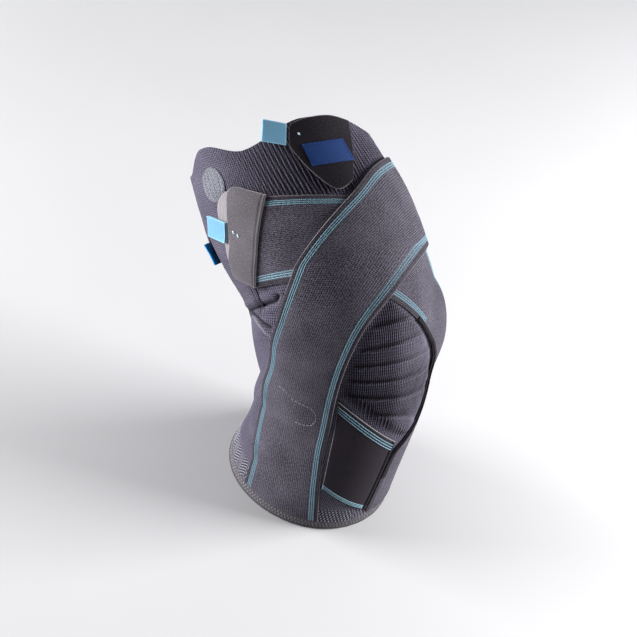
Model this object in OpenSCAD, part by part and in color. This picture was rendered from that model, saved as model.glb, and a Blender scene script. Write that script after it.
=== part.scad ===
// Elastic knit knee brace with two crossing straps, hook tabs and hinged side stays.
// Frame: origin at the centre of the bottom opening, +Z up the shin, +X to the front, -Y to the outer side.
// A place on the brace is (turn, height): degrees from the front towards the outer side, and
// millimetres up the leg from the bottom edge, along the leg's bent middle line.

/* [Sleeve] */
// Length of the sleeve along the leg
sleeve_length = 290; // [275:1:320]
// Knee bend that the brace is shown at, in degrees
flexion = 50; // [35:1:60]
// Outward lean of the thigh, in degrees
thigh_lean = 14; // [6:1:16]
// Height where the leg starts to bend
bend_start = 90; // [80:1:100]
// Length of the bent stretch
bend_length = 100; // [85:1:115]
// Thickness of the knit
knit_thickness = 2.4; // [1.6:0.1:3.2]
// Height of each hem
hem_height = 7; // [4:0.5:10]
// How far a hem stands proud of the knit, inside and out
hem_bulge = 0.7; // [0.4:0.1:1.2]
// How far the top edge dips beside the front
top_edge_dip = 14.5; // [0:0.5:16]
// How far the top edge rises again to an ear at each side
top_edge_ear = 9; // [0:0.5:10]
// How far the top edge falls from the ears to the back
top_edge_fall = 14; // [0:0.5:16]

/* [Leg sections, each front depth, back depth and half width] */
// Section at the bottom hem
hem_section = [64, 60, 63]; // [50:1:85]
// Section at the calf
calf_section = [67, 52, 59]; // [45:1:85]
// Section where the bend starts
shin_section = [67, 53, 60]; // [45:1:85]
// Section at the kneecap
knee_section = [65, 62, 62]; // [45:1:85]
// Section above the kneecap
above_knee_section = [71, 68, 67]; // [50:1:90]
// Section at the middle of the thigh
thigh_section = [74, 74, 72]; // [55:1:95]
// Section at the top hem
top_section = [64, 70, 63]; // [50:1:90]
// Height of the calf section
calf_height = 45; // [30:1:60]

/* [Layers] */
// Thickness of the elastic straps
strap_thickness = 1.4; // [1:0.1:2]
// Thickness of the hook tabs
tab_thickness = 1.5; // [1:0.1:2.2]
// Thickness of the hook pads under the tabs
hook_thickness = 1.1; // [0.8:0.1:1.6]
// Thickness of the pull ribbons
pull_thickness = 0.8; // [0.6:0.1:1.2]
// Thickness of patches, labels and pocket cloth
patch_thickness = 0.6; // [0.4:0.1:1]
// Air between two layers of cloth
layer_gap = 0.5; // [0.4:0.1:0.8]

/* [Side stays] */
// Width of a stay
stay_width = 12; // [9:0.5:15]
// Thickness of a stay
stay_thickness = 1.2; // [1:0.1:1.8]
// Length of the lower stay from its pivot
lower_stay_length = 75; // [55:1:85]
// Length of the upper stay from its pivot
upper_stay_length = 66; // [50:1:75]
// Diameter of a stay's round end
stay_eye = 16; // [14:0.5:18]
// Diameter of the rivet's shank
rivet_diameter = 6; // [4:0.5:7]
// Diameter of the rivet's heads
rivet_head = 11; // [9:0.5:12]
// Height of a rivet's head
rivet_head_height = 0.7; // [0.5:0.1:1]
// Thickness of the washer between two stays
washer_thickness = 0.3; // [0.2:0.05:0.6]
// Running clearance of the rivet in the upper stay, on the radius
pivot_clearance = 0.05; // [0.02:0.01:0.1]
// Tight clearance of the rivet in the lower stay, on the radius
seat_clearance = 0.02; // [0.01:0.01:0.05]
// Width of a stay's pocket
pocket_width = 27; // [24:1:32]

/* [Tabs] */
// How far a tab overlaps the end of its strap
tab_overlap = 6; // [4:1:9]
// Width of the pull ribbons
pull_width = 16; // [12:1:20]
// Length of the pull ribbons past their tab
pull_length = 15; // [10:1:22]
// Width of the plain label
label_width = 30; // [20:1:34]
// Height of the plain label
label_height = 16; // [10:1:18]
// Width of a grip patch
grip_patch_width = 24; // [14:1:28]
// Length of a grip patch
grip_patch_length = 25; // [16:1:30]
// Height of the silicone band inside the top edge
grip_band_height = 20; // [12:1:26]

/* [Hidden] */

knit_colour = [0.23, 0.22, 0.27];
strap_colour = [0.27, 0.26, 0.29];
tab_colour = [0.32, 0.31, 0.33];
dark_tab_colour = [0.16, 0.16, 0.18];
hook_colour = [0.62, 0.57, 0.57];
pull_colour = [0.25, 0.62, 0.80];
deep_blue = [0.05, 0.40, 0.72];
steel_colour = [0.72, 0.73, 0.75];
silicone_colour = [0.75, 0.78, 0.80];

outer_side = 1;
inner_side = -1;
round_sides = 48;
tube_columns = 48;
seam = 0.25;
bend_end = bend_start + bend_length;
bend_radius = bend_length * 180 / (PI * flexion);
knee_line = bend_start + bend_length / 2;
lean_blend = 70;

// Small helpers
function clamp(x, low, high) = min(max(x, low), high);
function lerp(a, b, t) = a + (b - a) * t;
function smooth(t) = let (c = clamp(t, 0, 1)) c * c * (3 - 2 * c);
function fade(distance, near, far) = 1 - smooth((distance - near) / (far - near));

// Leg sections, joined by a smooth cubic through the stations
station_heights = [0, calf_height, bend_start, bend_start + 40, bend_start + 80, bend_end + 40,
    sleeve_length];
sections = [hem_section, calf_section, shin_section, knee_section, above_knee_section, thigh_section,
    top_section];
last_station = len(sections) - 1;
function rise(i, j) = (sections[j] - sections[i]) / (station_heights[j] - station_heights[i]);
function slope(i) = rise(max(i - 1, 0), min(i + 1, last_station));
function interval(v, i = 0) = i >= last_station - 1 || v < station_heights[i + 1] ? i : interval(v, i + 1);
function section(height) =
    let (v = clamp(height, 0, sleeve_length), i = interval(v))
    let (span = station_heights[i + 1] - station_heights[i], t = (v - station_heights[i]) / span)
    (2 * t^3 - 3 * t^2 + 1) * sections[i] + (t^3 - 2 * t^2 + t) * span * slope(i)
    + (3 * t^2 - 2 * t^3) * sections[i + 1] + (t^3 - t^2) * span * slope(i + 1);

// The leg's middle line: straight shin, round knee, straight leaning thigh
function tilt(v) = flexion * clamp((v - bend_start) / bend_length, 0, 1);
function lean_ramp(v) =
    let (x = max(v - knee_line + lean_blend / 2, 0))
    x < lean_blend ? x * x / (2 * lean_blend) : x - lean_blend / 2;
function lean_shift(v) = tan(thigh_lean) * lean_ramp(v);
function centre(v) =
    let (past = max(v - bend_end, 0))
    [-bend_radius * (1 - cos(tilt(v))) - sin(flexion) * past, -lean_shift(v),
     min(v, bend_start) + bend_radius * sin(tilt(v)) + cos(flexion) * past];

// A point of the brace, lift millimetres outside the knit's outer face
function on_leg(turn, v, lift = 0) =
    let (s = section(v), depth = cos(turn) > 0 ? s[0] : s[1])
    let (n = [cos(turn) / depth, sin(turn) / s[2]])
    let (flat = [depth * cos(turn), s[2] * sin(turn)] + n * lift / norm(n))
    centre(v) + [flat.x * cos(tilt(v)), -flat.y, flat.x * sin(tilt(v))];

// Degrees of turn that make one millimetre round the leg at a height
function degrees_per_mm(v) = 180 / (PI * section(v)[2]);

// A smooth curve through hand-placed points, at t from 0 to 1
function curve(points, t) =
    let (last = len(points) - 1, x = clamp(t, 0, 1) * last, i = min(floor(x), last - 1), f = x - i)
    let (a = points[max(i - 1, 0)], b = points[i], c = points[i + 1], d = points[min(i + 2, last)])
    0.5 * (2 * b + (c - a) * f + (2 * a - 5 * b + 4 * c - d) * f^2 + (3 * b - a - 3 * c + d) * f^3);

// Closed solid between two grids of points, rows going up and columns going round
module shell(outside, inside, ring = false) {
    rows = len(outside);
    columns = len(outside[0]);
    count = rows * columns;
    last_row = rows - 1;
    last_column = columns - 1;
    cells = ring ? columns : last_column;
    function at(side, r, c) = side * count + r * columns + c % columns;
    points = [for (grid = [outside, inside]) for (row = grid) each row];
    walls = [for (r = [0 : last_row - 1]) for (c = [0 : cells - 1]) each [
        [at(0, r, c), at(0, r, c + 1), at(0, r + 1, c + 1)],
        [at(0, r, c), at(0, r + 1, c + 1), at(0, r + 1, c)],
        [at(1, r, c), at(1, r + 1, c + 1), at(1, r, c + 1)],
        [at(1, r, c), at(1, r + 1, c), at(1, r + 1, c + 1)]]];
    ends = [for (c = [0 : cells - 1]) each [
        [at(0, 0, c + 1), at(0, 0, c), at(1, 0, c)],
        [at(0, 0, c + 1), at(1, 0, c), at(1, 0, c + 1)],
        [at(0, last_row, c), at(0, last_row, c + 1), at(1, last_row, c + 1)],
        [at(0, last_row, c), at(1, last_row, c + 1), at(1, last_row, c)]]];
    sides = ring ? [] : [for (r = [0 : last_row - 1]) each [
        [at(0, r, 0), at(0, r + 1, 0), at(1, r + 1, 0)],
        [at(0, r, 0), at(1, r + 1, 0), at(1, r, 0)],
        [at(0, r + 1, last_column), at(0, r, last_column), at(1, r, last_column)],
        [at(0, r + 1, last_column), at(1, r, last_column), at(1, r + 1, last_column)]]];
    polyhedron(points, concat(walls, ends, sides));
}

// A piece of cloth: place(x, y) gives (turn, height), lift(turn, height, x, y) its underside
module cloth(place, lift, thickness, columns, rows) {
    function grid(extra) = [for (r = [0 : rows]) [for (c = [0 : columns])
        let (p = place(c / columns, r / rows))
        on_leg(p.x, p.y, lift(p.x, p.y, c / columns, r / rows) + extra)]];
    shell(grid(thickness), grid(0));
}

// A tube of cloth between two edges, each a function of the turn
module tube(low_edge, high_edge, inside, outside, rows) {
    function grid(lift) = [for (r = [0 : rows]) [for (c = [0 : tube_columns - 1])
        let (turn = 360 * c / tube_columns)
        on_leg(turn, lerp(low_edge(turn), high_edge(turn), r / rows), lift)]];
    shell(grid(outside), grid(inside), ring = true);
}

// Edges of the three sleeve tubes
sleeve_slant_low = 12;
sleeve_slant_high = 15;
function shin_edge(turn) = bend_start - 18 + sleeve_slant_low * cos(turn);
function thigh_edge(turn) = bend_end + 21 - sleeve_slant_high * cos(turn);
function half_turn(turn) = abs(turn - 360 * floor((turn + 180) / 360));
function top_edge(turn) =
    let (half = half_turn(turn))
    sleeve_length - top_edge_dip * smooth((half - 8) / 46) + top_edge_ear * smooth((half - 52) / 28)
    - top_edge_fall * smooth((half - 84) / 24);

// Sleeve, hems and grip band
module shin_sleeve() {
    color(knit_colour)
        tube(function (turn) hem_height + seam, function (turn) shin_edge(turn), -knit_thickness, 0, 6);
}

module knee_sleeve() {
    color(knit_colour)
        tube(function (turn) shin_edge(turn) + seam, function (turn) thigh_edge(turn) - seam,
            -knit_thickness, 0, 12);
}

module thigh_sleeve() {
    color(knit_colour)
        tube(function (turn) thigh_edge(turn), function (turn) top_edge(turn) - hem_height - seam,
            -knit_thickness, 0, 7);
}

module bottom_hem() {
    function outline(lift) = [for (c = [0 : tube_columns - 1])
        let (p = on_leg(-360 * c / tube_columns, hem_height / 2, lift)) [p.x, p.y]];
    color(knit_colour)
        linear_extrude(hem_height) difference() {
            polygon(outline(hem_bulge));
            polygon(outline(-knit_thickness - hem_bulge));
        }
}

module top_hem() {
    color(knit_colour)
        tube(function (turn) top_edge(turn) - hem_height, function (turn) top_edge(turn),
            -knit_thickness - hem_bulge, hem_bulge, 2);
}

grip_band_inset = 5;
module silicone_grip_band() {
    grip_inside = -knit_thickness - layer_gap - patch_thickness;
    band_high = hem_height + grip_band_inset;
    color(silicone_colour)
        tube(function (turn) top_edge(turn) - band_high - grip_band_height,
            function (turn) top_edge(turn) - band_high, grip_inside, grip_inside + patch_thickness, 3);
}

// The side stays: both pivots lie on one line across the knee, square to the leg where it leans.
// A place in the pivots' plane is (forward, up) from the pivot line
pivot_lean = atan(tan(thigh_lean) / 2);
pivot_line = [0, cos(pivot_lean), sin(pivot_lean)];
pivot_centre = [0, -lean_shift(knee_line), bend_start + bend_radius * tan(flexion / 2)];
down_shin = [[0, -1], [1, 0]];
up_thigh = [[-sin(flexion), cos(flexion)], [cos(flexion), sin(flexion)]];
eye_radius = stay_eye / 2;
eye_flat = eye_radius + 2;
joggle_length = 16;
stay_steps = 10;
part_clearance = 0.05;
// Height along the leg and distance before its middle line, of a point seen from the side
function seen_from_side(x, z) =
    let (angle = atan2(z - bend_start, x + bend_radius), end = centre(bend_end))
    let (far = [x - end.x, z - end.z])
    z <= bend_start ? [z, x] :
        angle < flexion ? [bend_start + bend_radius * angle * PI / 180,
                           norm([x + bend_radius, z - bend_start]) - bend_radius] :
            [bend_end + far * up_thigh[0], far * up_thigh[1]];
// The (turn, height) on one side of the leg beside a place in the pivots' plane
function beside(side, place) =
    let (z = pivot_centre.z + place.y * cos(pivot_lean) - side * knee_section[2] * sin(pivot_lean))
    let (seen = seen_from_side(place.x, z), depth = section(seen[0])[seen[1] > 0 ? 0 : 1])
    [side * acos(clamp(seen[1] / depth, -1, 1)), seen[0]];
// How far out the knit lies there, measured along the pivot line
function reach(side, place) =
    let (spot = beside(side, place))
    abs((on_leg(spot.x, spot.y) - pivot_centre) * pivot_line);
function along_stay(way, distance, forward) = distance * way[0] + forward * way[1];
// Where the pivot's parts lie along the pivot line
function rim(side) = [for (angle = [0 : 45 : 315]) reach(side, eye_flat * [cos(angle), sin(angle)])];
function pivot_base(side) = max(rim(side)) + layer_gap;
function lower_eye(side) = pivot_base(side) + rivet_head_height + part_clearance;
function washer_place(side) = lower_eye(side) + stay_thickness + part_clearance;
function upper_eye(side) = washer_place(side) + washer_thickness + part_clearance;
function outer_head(side) = upper_eye(side) + stay_thickness + 2 * part_clearance;
function pivot_top(side) = outer_head(side) + rivet_head_height;

// Move a shape drawn up from the pivot along +Z and outwards along +Y, to one side of the leg
module beside_leg(side, turned) {
    translate(pivot_centre)
        rotate([pivot_lean, 0, 0])
            rotate([0, -turned, 0])
                mirror([0, side > 0 ? 1 : 0, 0])
                    children();
}

// A flat bar that follows the leg's side, with a round eye: points of its inner face are (across, along)
module stay(side, turned, way, length, eye, bore) {
    half = stay_width / 2;
    function knit(t) = max([for (forward = [-half, 0, half]) reach(side, along_stay(way, t, forward))]);
    function across(t) = lerp(knit(t) + layer_gap, eye, fade(t, eye_flat, eye_flat + joggle_length));
    stops = [0, eye_flat, each [for (i = [1 : stay_steps]) lerp(eye_flat, length, i / stay_steps)]];
    face = [for (t = stops) [across(t), t]];
    back = [for (i = [len(face) - 1 : -1 : 0]) face[i] + [stay_thickness, 0]];
    color(steel_colour)
        beside_leg(side, turned)
            difference() {
                union() {
                    rotate([90, 0, 90])
                        linear_extrude(stay_width, center = true)
                            polygon(concat(face, back));
                    translate([0, eye, 0])
                        rotate([-90, 0, 0])
                            cylinder(h = stay_thickness, d = stay_eye, $fn = round_sides);
                }
                translate([0, eye - 1, 0])
                    rotate([-90, 0, 0])
                        cylinder(h = stay_thickness + 2, r = bore, $fn = round_sides);
            }
}

// The lower stay runs down the shin, so it is drawn turned right round
module lower_stay(side) {
    stay(side, 180, down_shin, lower_stay_length, lower_eye(side), rivet_diameter / 2 + seat_clearance);
}

module upper_stay(side) {
    stay(side, flexion, up_thigh, upper_stay_length, upper_eye(side), rivet_diameter / 2 + pivot_clearance);
}

module rivet(side) {
    low = pivot_base(side);
    color(steel_colour)
        beside_leg(side, 0)
            rotate([-90, 0, 0]) {
                translate([0, 0, low])
                    cylinder(h = rivet_head_height, d = rivet_head, $fn = round_sides);
                translate([0, 0, low])
                    cylinder(h = pivot_top(side) - low, d = rivet_diameter, $fn = round_sides);
                translate([0, 0, outer_head(side)])
                    cylinder(h = rivet_head_height, d = rivet_head, $fn = round_sides);
            }
}

module washer(side) {
    color("dimgray")
        beside_leg(side, 0)
            translate([0, washer_place(side), 0])
                rotate([-90, 0, 0])
                    difference() {
                        cylinder(h = washer_thickness, d = stay_eye - 1, $fn = round_sides);
                        translate([0, 0, -1])
                            cylinder(h = washer_thickness + 2, r = rivet_diameter / 2 + pivot_clearance,
                                $fn = round_sides);
                    }
}

// How far cloth is lifted where it passes over a stay, its pocket or its pivot
stay_crown = stay_width^2 * calf_section[2] / (8 * calf_section[1]^2);
pocket_lift = 2 * layer_gap + stay_thickness + stay_crown;
over_pocket = pocket_lift + patch_thickness;
function pivot_lift(side) = pivot_top(side) - min(rim(side));
pivot_lifts = [pivot_lift(inner_side), pivot_lift(outer_side)];
pocket_spare = 5;
function segment_distance(p, b) = norm(p - b * clamp(p * b / (b * b), 0, 1));
function stay_lift(turn, v) =
    let (from_pivot = on_leg(turn, v) - pivot_centre, half = half_turn(turn))
    let (p = [from_pivot.x, from_pivot.z * cos(pivot_lean) - from_pivot.y * sin(pivot_lean)])
    let (arms = min(segment_distance(p, along_stay(down_shin, lower_stay_length + pocket_spare, 0)),
                    segment_distance(p, along_stay(up_thigh, upper_stay_length + pocket_spare, 0))))
    half < 30 || half > 150 ? 0 :
        max(over_pocket * fade(arms, pocket_width / 2, pocket_width / 2 + 14),
            pivot_lifts[from_pivot.y < 0 ? 1 : 0] * fade(norm(p), eye_radius + 5, eye_radius + 32));

// Cloth pocket that holds a stay to the sleeve, between two distances from the pivot
pocket_start = eye_flat + joggle_length + 2;
module pocket(side, way, from, to) {
    color(knit_colour)
        cloth(function (x, y)
                beside(side, along_stay(way, lerp(from, to, y), side * (0.5 - x) * pocket_width)),
            function (turn, v, x, y) layer_gap + (pocket_lift - layer_gap) * fade(abs(x - 0.5), 0.31, 0.5),
            patch_thickness, 10, 8);
}

module lower_pocket(side) {
    pocket(side, down_shin, lower_stay_length + pocket_spare, pocket_start);
}

module upper_pocket(side) {
    pocket(side, up_thigh, pocket_start, upper_stay_length + pocket_spare);
}

// Height of the highest strap edge on the thigh, which the tabs there follow too
band_top = sleeve_length - 33;

// The outer strap: up the outer shin, across above the kneecap, round the inner thigh to the back.
// Pairs of places on its front and back edges, from the bottom up
lateral_front_edge = [[24, 9], [33, 45], [38, 80], [39, 105], [37, 124], [31, 141], [20, 157], [3, 169],
    [-21, 181], [-45, 188], [-68, 192], [-95, 197], [-119, 201], [-143, 205], [-167, 209], [-192, 212]];
lateral_back_edge = [[80, 9], [88, 40], [97, 80], [99, 108], [93, 133], [82, 155], [60, 181], [28, 211],
    [2, band_top - 24], [-22, band_top - 7], [-55, band_top], [-95, band_top - 3], [-119, band_top - 5],
    [-143, band_top - 6], [-167, band_top - 7], [-192, band_top - 7]];
// The inner strap: up the inner shin, across under the other strap, to the outer thigh
medial_front_edge = [[-11, 14], [-11.5, 45], [-13.5, 82], [-34, 100], [-45, 122], [-40, 138], [-25, 153],
    [-4, 167], [20, 178], [48, 183], [84, 183]];
medial_back_edge = [[-80, 9], [-88, 40], [-97, 80], [-99, 108], [-93, 133], [-82, 155], [-60, 181],
    [-28, 209], [-2, band_top - 29], [20, band_top - 22], [52, band_top - 15]];
strap_columns = 8;
lateral_rows = 60;
medial_rows = 48;
// Pairs of the outer strap between which it lies on the inner one
crossing_from = 6;
crossing_to = 9.7;
function crossing_lift(y) =
    let (pair = y * (len(lateral_front_edge) - 1))
    (strap_thickness + layer_gap) * smooth(pair - crossing_from + 1) * (1 - smooth(pair - crossing_to));

module lateral_strap() {
    color(strap_colour)
        cloth(function (x, y) lerp(curve(lateral_front_edge, y), curve(lateral_back_edge, y), x),
            function (turn, v, x, y) layer_gap + stay_lift(turn, v) + crossing_lift(y),
            strap_thickness, strap_columns, lateral_rows);
}

module medial_strap() {
    color(strap_colour)
        cloth(function (x, y) lerp(curve(medial_back_edge, y), curve(medial_front_edge, y), x),
            function (turn, v, x, y) layer_gap + stay_lift(turn, v),
            strap_thickness, strap_columns, medial_rows);
}

// The stitched panel below the kneecap, between the front edges of the straps
module shin_panel() {
    color(strap_colour)
        cloth(function (x, y) lerp([lerp(-7.5, -10.5, y), lerp(19, 94, y)],
                [lerp(30, 36, y), lerp(46, 119, y)], x),
            function (turn, v, x, y) layer_gap, strap_thickness, 8, 12);
}

// Heights of the layers in a closed tab, above the knit
tab_lift = strap_thickness + 2 * layer_gap;
hook_lift = tab_lift - seam - hook_thickness;
pull_lift = tab_lift + seam;
front_lift = hem_bulge + layer_gap + hook_thickness + seam;

// A ribbon or label laid on the brace round an anchor, turned by heading degrees
function laid(anchor, heading, along, across) =
    anchor + [(along * cos(heading) - across * sin(heading)) * degrees_per_mm(anchor.y),
              along * sin(heading) + across * cos(heading)];

// Ribbon whose loose end stands away from the leg
pull_stand = 3;
module pull(anchor, heading, from, to, low, high) {
    cloth(function (x, y) laid(anchor, heading, lerp(from, to, x), (y - 0.5) * pull_width),
        function (turn, v, x, y) stay_lift(turn, v) + lerp(low, high, x),
        pull_thickness, 5, 4);
}

// The tab on the outer thigh, at the end of the inner strap, and the places along its free edge
lateral_free = [[90, 192], [84, band_top - 48], [77.5, band_top - 32], [72.8, band_top - 18],
    [67, band_top - 2]];
module lateral_tab() {
    overlap = [tab_overlap * degrees_per_mm(bend_end), 0];
    root_low = medial_front_edge[len(medial_front_edge) - 1] - overlap;
    root_high = medial_back_edge[len(medial_back_edge) - 1] - overlap;
    color(tab_colour)
        cloth(function (x, y) lerp(lerp(root_low, root_high, y), curve(lateral_free, y), x),
            function (turn, v, x, y) tab_lift + stay_lift(turn, v), tab_thickness, 8, 12);
}

// Its hook pad shows as a round end past the tab
lateral_hook_end = [[88, 202], [86, band_top - 40], [83.5, band_top - 23], [79, band_top - 12],
    [71, band_top - 6]];
module lateral_hook() {
    color(hook_colour)
        cloth(function (x, y) lerp(lerp([82, 197], [57.5, band_top - 10], y), curve(lateral_hook_end, y), x),
            function (turn, v, x, y) hook_lift + stay_lift(turn, v), hook_thickness, 6, 12);
}

module lateral_pull() {
    color(pull_colour)
        pull([80.8, band_top - 34], 33, 0, pull_length, pull_lift, pull_lift + pull_stand);
}

// The tab at the back of the thigh, at the end of the outer strap
rear_low = lateral_front_edge[len(lateral_front_edge) - 1].y;
rear_high = lateral_back_edge[len(lateral_back_edge) - 1].y + 2;
rear_free = 131;
rear_end = 360 + lateral_front_edge[len(lateral_front_edge) - 1].x;
module rear_tab() {
    color(dark_tab_colour)
        cloth(function (x, y) [lerp(rear_free, rear_end + tab_overlap * degrees_per_mm(rear_low), x),
                lerp(rear_low, rear_high, y)],
            function (turn, v, x, y) tab_lift, tab_thickness, 8, 6);
}

module rear_hook() {
    color(hook_colour)
        cloth(function (x, y) [lerp(rear_free + 2, rear_end - 4, x), lerp(rear_low + 2, rear_high - 2, y)],
            function (turn, v, x, y) hook_lift, hook_thickness, 8, 6);
}

module rear_pull() {
    color(deep_blue)
        pull([rear_free - 3, rear_low + 5], 15, -pull_length, 0, pull_lift + pull_stand, pull_lift);
}

// The tab at the front of the thigh, below the top edge
front_top = [[-22, sleeve_length - 6], [-8, sleeve_length - 1], [8, sleeve_length - 1],
    [19, sleeve_length - 4]];
front_bottom = [[-1, sleeve_length - 49], [10, sleeve_length - 53.5], [19, sleeve_length - 38],
    [24.5, sleeve_length - 18]];
function front_place(x, y) = lerp(curve(front_bottom, x), curve(front_top, x), y);
module front_tab() {
    color(dark_tab_colour)
        cloth(function (x, y) front_place(x, y), function (turn, v, x, y) front_lift, tab_thickness, 10, 8);
}

module front_hook() {
    color(dark_tab_colour)
        cloth(function (x, y) front_place(lerp(0.3, 0.97, x), lerp(0.06, 0.94, y)),
            function (turn, v, x, y) front_lift - seam - hook_thickness, hook_thickness, 8, 6);
}

module front_pull() {
    color(pull_colour)
        pull([22.7, sleeve_length - 10.5], 23, 0, pull_length, front_lift, front_lift + pull_stand);
}

module front_label() {
    color(deep_blue)
        cloth(function (x, y) laid([4.6, sleeve_length - 27], -3, (x - 0.5) * label_width,
                (y - 0.5) * label_height),
            function (turn, v, x, y) front_lift + tab_thickness + seam, patch_thickness, 8, 4);
}

// Oval patch of grip yarn on the outer thigh
patch_gap = 0.2;
module grip_patch() {
    function half_width(y) = grip_patch_width / 2 * sqrt(1 - (0.98 * (2 * y - 1))^2);
    color("lightgray")
        cloth(function (x, y) laid([80.5, band_top + 1], -12, (2 * x - 1) * half_width(y),
                (y - 0.5) * grip_patch_length),
            function (turn, v, x, y) patch_gap, patch_thickness, 6, 10);
}

shin_sleeve();
knee_sleeve();
thigh_sleeve();
bottom_hem();
top_hem();
silicone_grip_band();
shin_panel();
lateral_strap();
medial_strap();
lower_stay(outer_side);  // lateral_lower_stay
upper_stay(outer_side);  // lateral_upper_stay
rivet(outer_side);  // lateral_rivet
washer(outer_side);  // lateral_washer
lower_pocket(outer_side);  // lateral_lower_pocket
upper_pocket(outer_side);  // lateral_upper_pocket
lower_stay(inner_side);  // medial_lower_stay
upper_stay(inner_side);  // medial_upper_stay
rivet(inner_side);  // medial_rivet
washer(inner_side);  // medial_washer
lower_pocket(inner_side);  // medial_lower_pocket
upper_pocket(inner_side);  // medial_upper_pocket
lateral_tab();
lateral_hook();
lateral_pull();
rear_tab();
rear_hook();
rear_pull();
front_tab();
front_hook();
front_pull();
front_label();
grip_patch();
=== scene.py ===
# %% [markdown]
# # A knit knee brace, bent as worn
# The imported solids of the brace are loaded as a fixed frame. Every cloth piece is then built round that
# frame as a numpy surface, in metres and in the same axes: +Z up the shin, +X to the front, -Y to the
# outer side.

import math

import bpy
import numpy as np
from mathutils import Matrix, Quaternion, Vector


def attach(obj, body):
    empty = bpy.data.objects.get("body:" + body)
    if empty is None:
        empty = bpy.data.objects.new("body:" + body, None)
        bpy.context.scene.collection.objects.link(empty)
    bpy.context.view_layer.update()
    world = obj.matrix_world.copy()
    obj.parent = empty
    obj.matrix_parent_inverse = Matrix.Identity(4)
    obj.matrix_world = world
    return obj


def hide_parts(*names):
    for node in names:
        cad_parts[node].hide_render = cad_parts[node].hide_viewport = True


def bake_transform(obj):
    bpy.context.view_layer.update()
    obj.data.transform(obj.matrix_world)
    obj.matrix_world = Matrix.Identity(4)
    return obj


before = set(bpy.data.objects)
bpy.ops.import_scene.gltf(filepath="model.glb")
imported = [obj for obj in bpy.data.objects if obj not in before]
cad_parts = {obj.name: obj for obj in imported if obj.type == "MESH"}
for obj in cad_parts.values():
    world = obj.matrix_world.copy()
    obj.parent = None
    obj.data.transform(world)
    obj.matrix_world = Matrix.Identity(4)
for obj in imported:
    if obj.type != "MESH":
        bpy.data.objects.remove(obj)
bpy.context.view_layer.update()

# %% [markdown]
# ## Camera
# The view is from the front and the outer side, well above the knee, with a long lens and a slight roll.
# A camera could be turned by typed angles. Here it is aimed at a point in the knee, so that the eye, the
# aim and the roll can each be read and changed alone.

# %% Camera
camera_eye = Vector((0.7558, -0.6873, 1.0453))
camera_aim = Vector((-0.0304, -0.0129, 0.1334))
camera_roll = math.radians(19.03)
camera_data = bpy.data.cameras.new("camera")
camera_data.sensor_width = 36
camera_data.lens = 105.9
camera = bpy.data.objects.new("camera", camera_data)
bpy.context.scene.collection.objects.link(camera)
camera.location = camera_eye
camera.rotation_mode = "QUATERNION"
level = (camera_aim - camera_eye).to_track_quat("-Z", "Y")
camera.rotation_quaternion = level @ Quaternion((0, 0, 1), camera_roll)
bpy.context.scene.camera = camera
print("camera is", round((camera_aim - camera_eye).length, 3), "m away")

# %% [markdown]
# ## Helpers for finishes
# Every finish is a tree of shader nodes. Building one by hand takes three lines for each node, so one
# short helper adds a node, sets its properties and feeds its inputs. The smaller ones under it are the
# sums, mixes and ripples that all the cloths share.


# %% Shader helpers
def add_node(tree, kind, inputs, **settings):
    """Adds one shader node. inputs maps a socket to a value or to the output that feeds it."""
    made = tree.nodes.new("ShaderNode" + kind)
    for name, value in settings.items():
        setattr(made, name, value)
    for key, value in inputs.items():
        if isinstance(value, bpy.types.NodeSocket):
            tree.links.new(value, made.inputs[key])
        else:
            made.inputs[key].default_value = value
    return made


def calc(tree, operation, a, b=0.0, c=0.0):
    """One Math node: a, b and c are numbers or outputs."""
    return add_node(tree, "Math", {0: a, 1: b, 2: c}, operation=operation).outputs[0]


def mix_colour(tree, share, a, b):
    """Colour a where share is 0 and colour b where it is 1."""
    made = add_node(tree, "Mix", {0: share, 6: a, 7: b}, data_type="RGBA")
    return made.outputs[2]


def ripple(tree, along, pitch):
    """A cosine of the given pitch, moved to lie between 0 and 1."""
    turn = calc(tree, "MULTIPLY", along, 2 * math.pi / pitch)
    return calc(tree, "MULTIPLY_ADD", calc(tree, "COSINE", turn), 0.5, 0.5)


def paint(red, green, blue):
    """An opaque linear colour."""
    return (red, green, blue, 1.0)


print("shader helpers ready")
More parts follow.
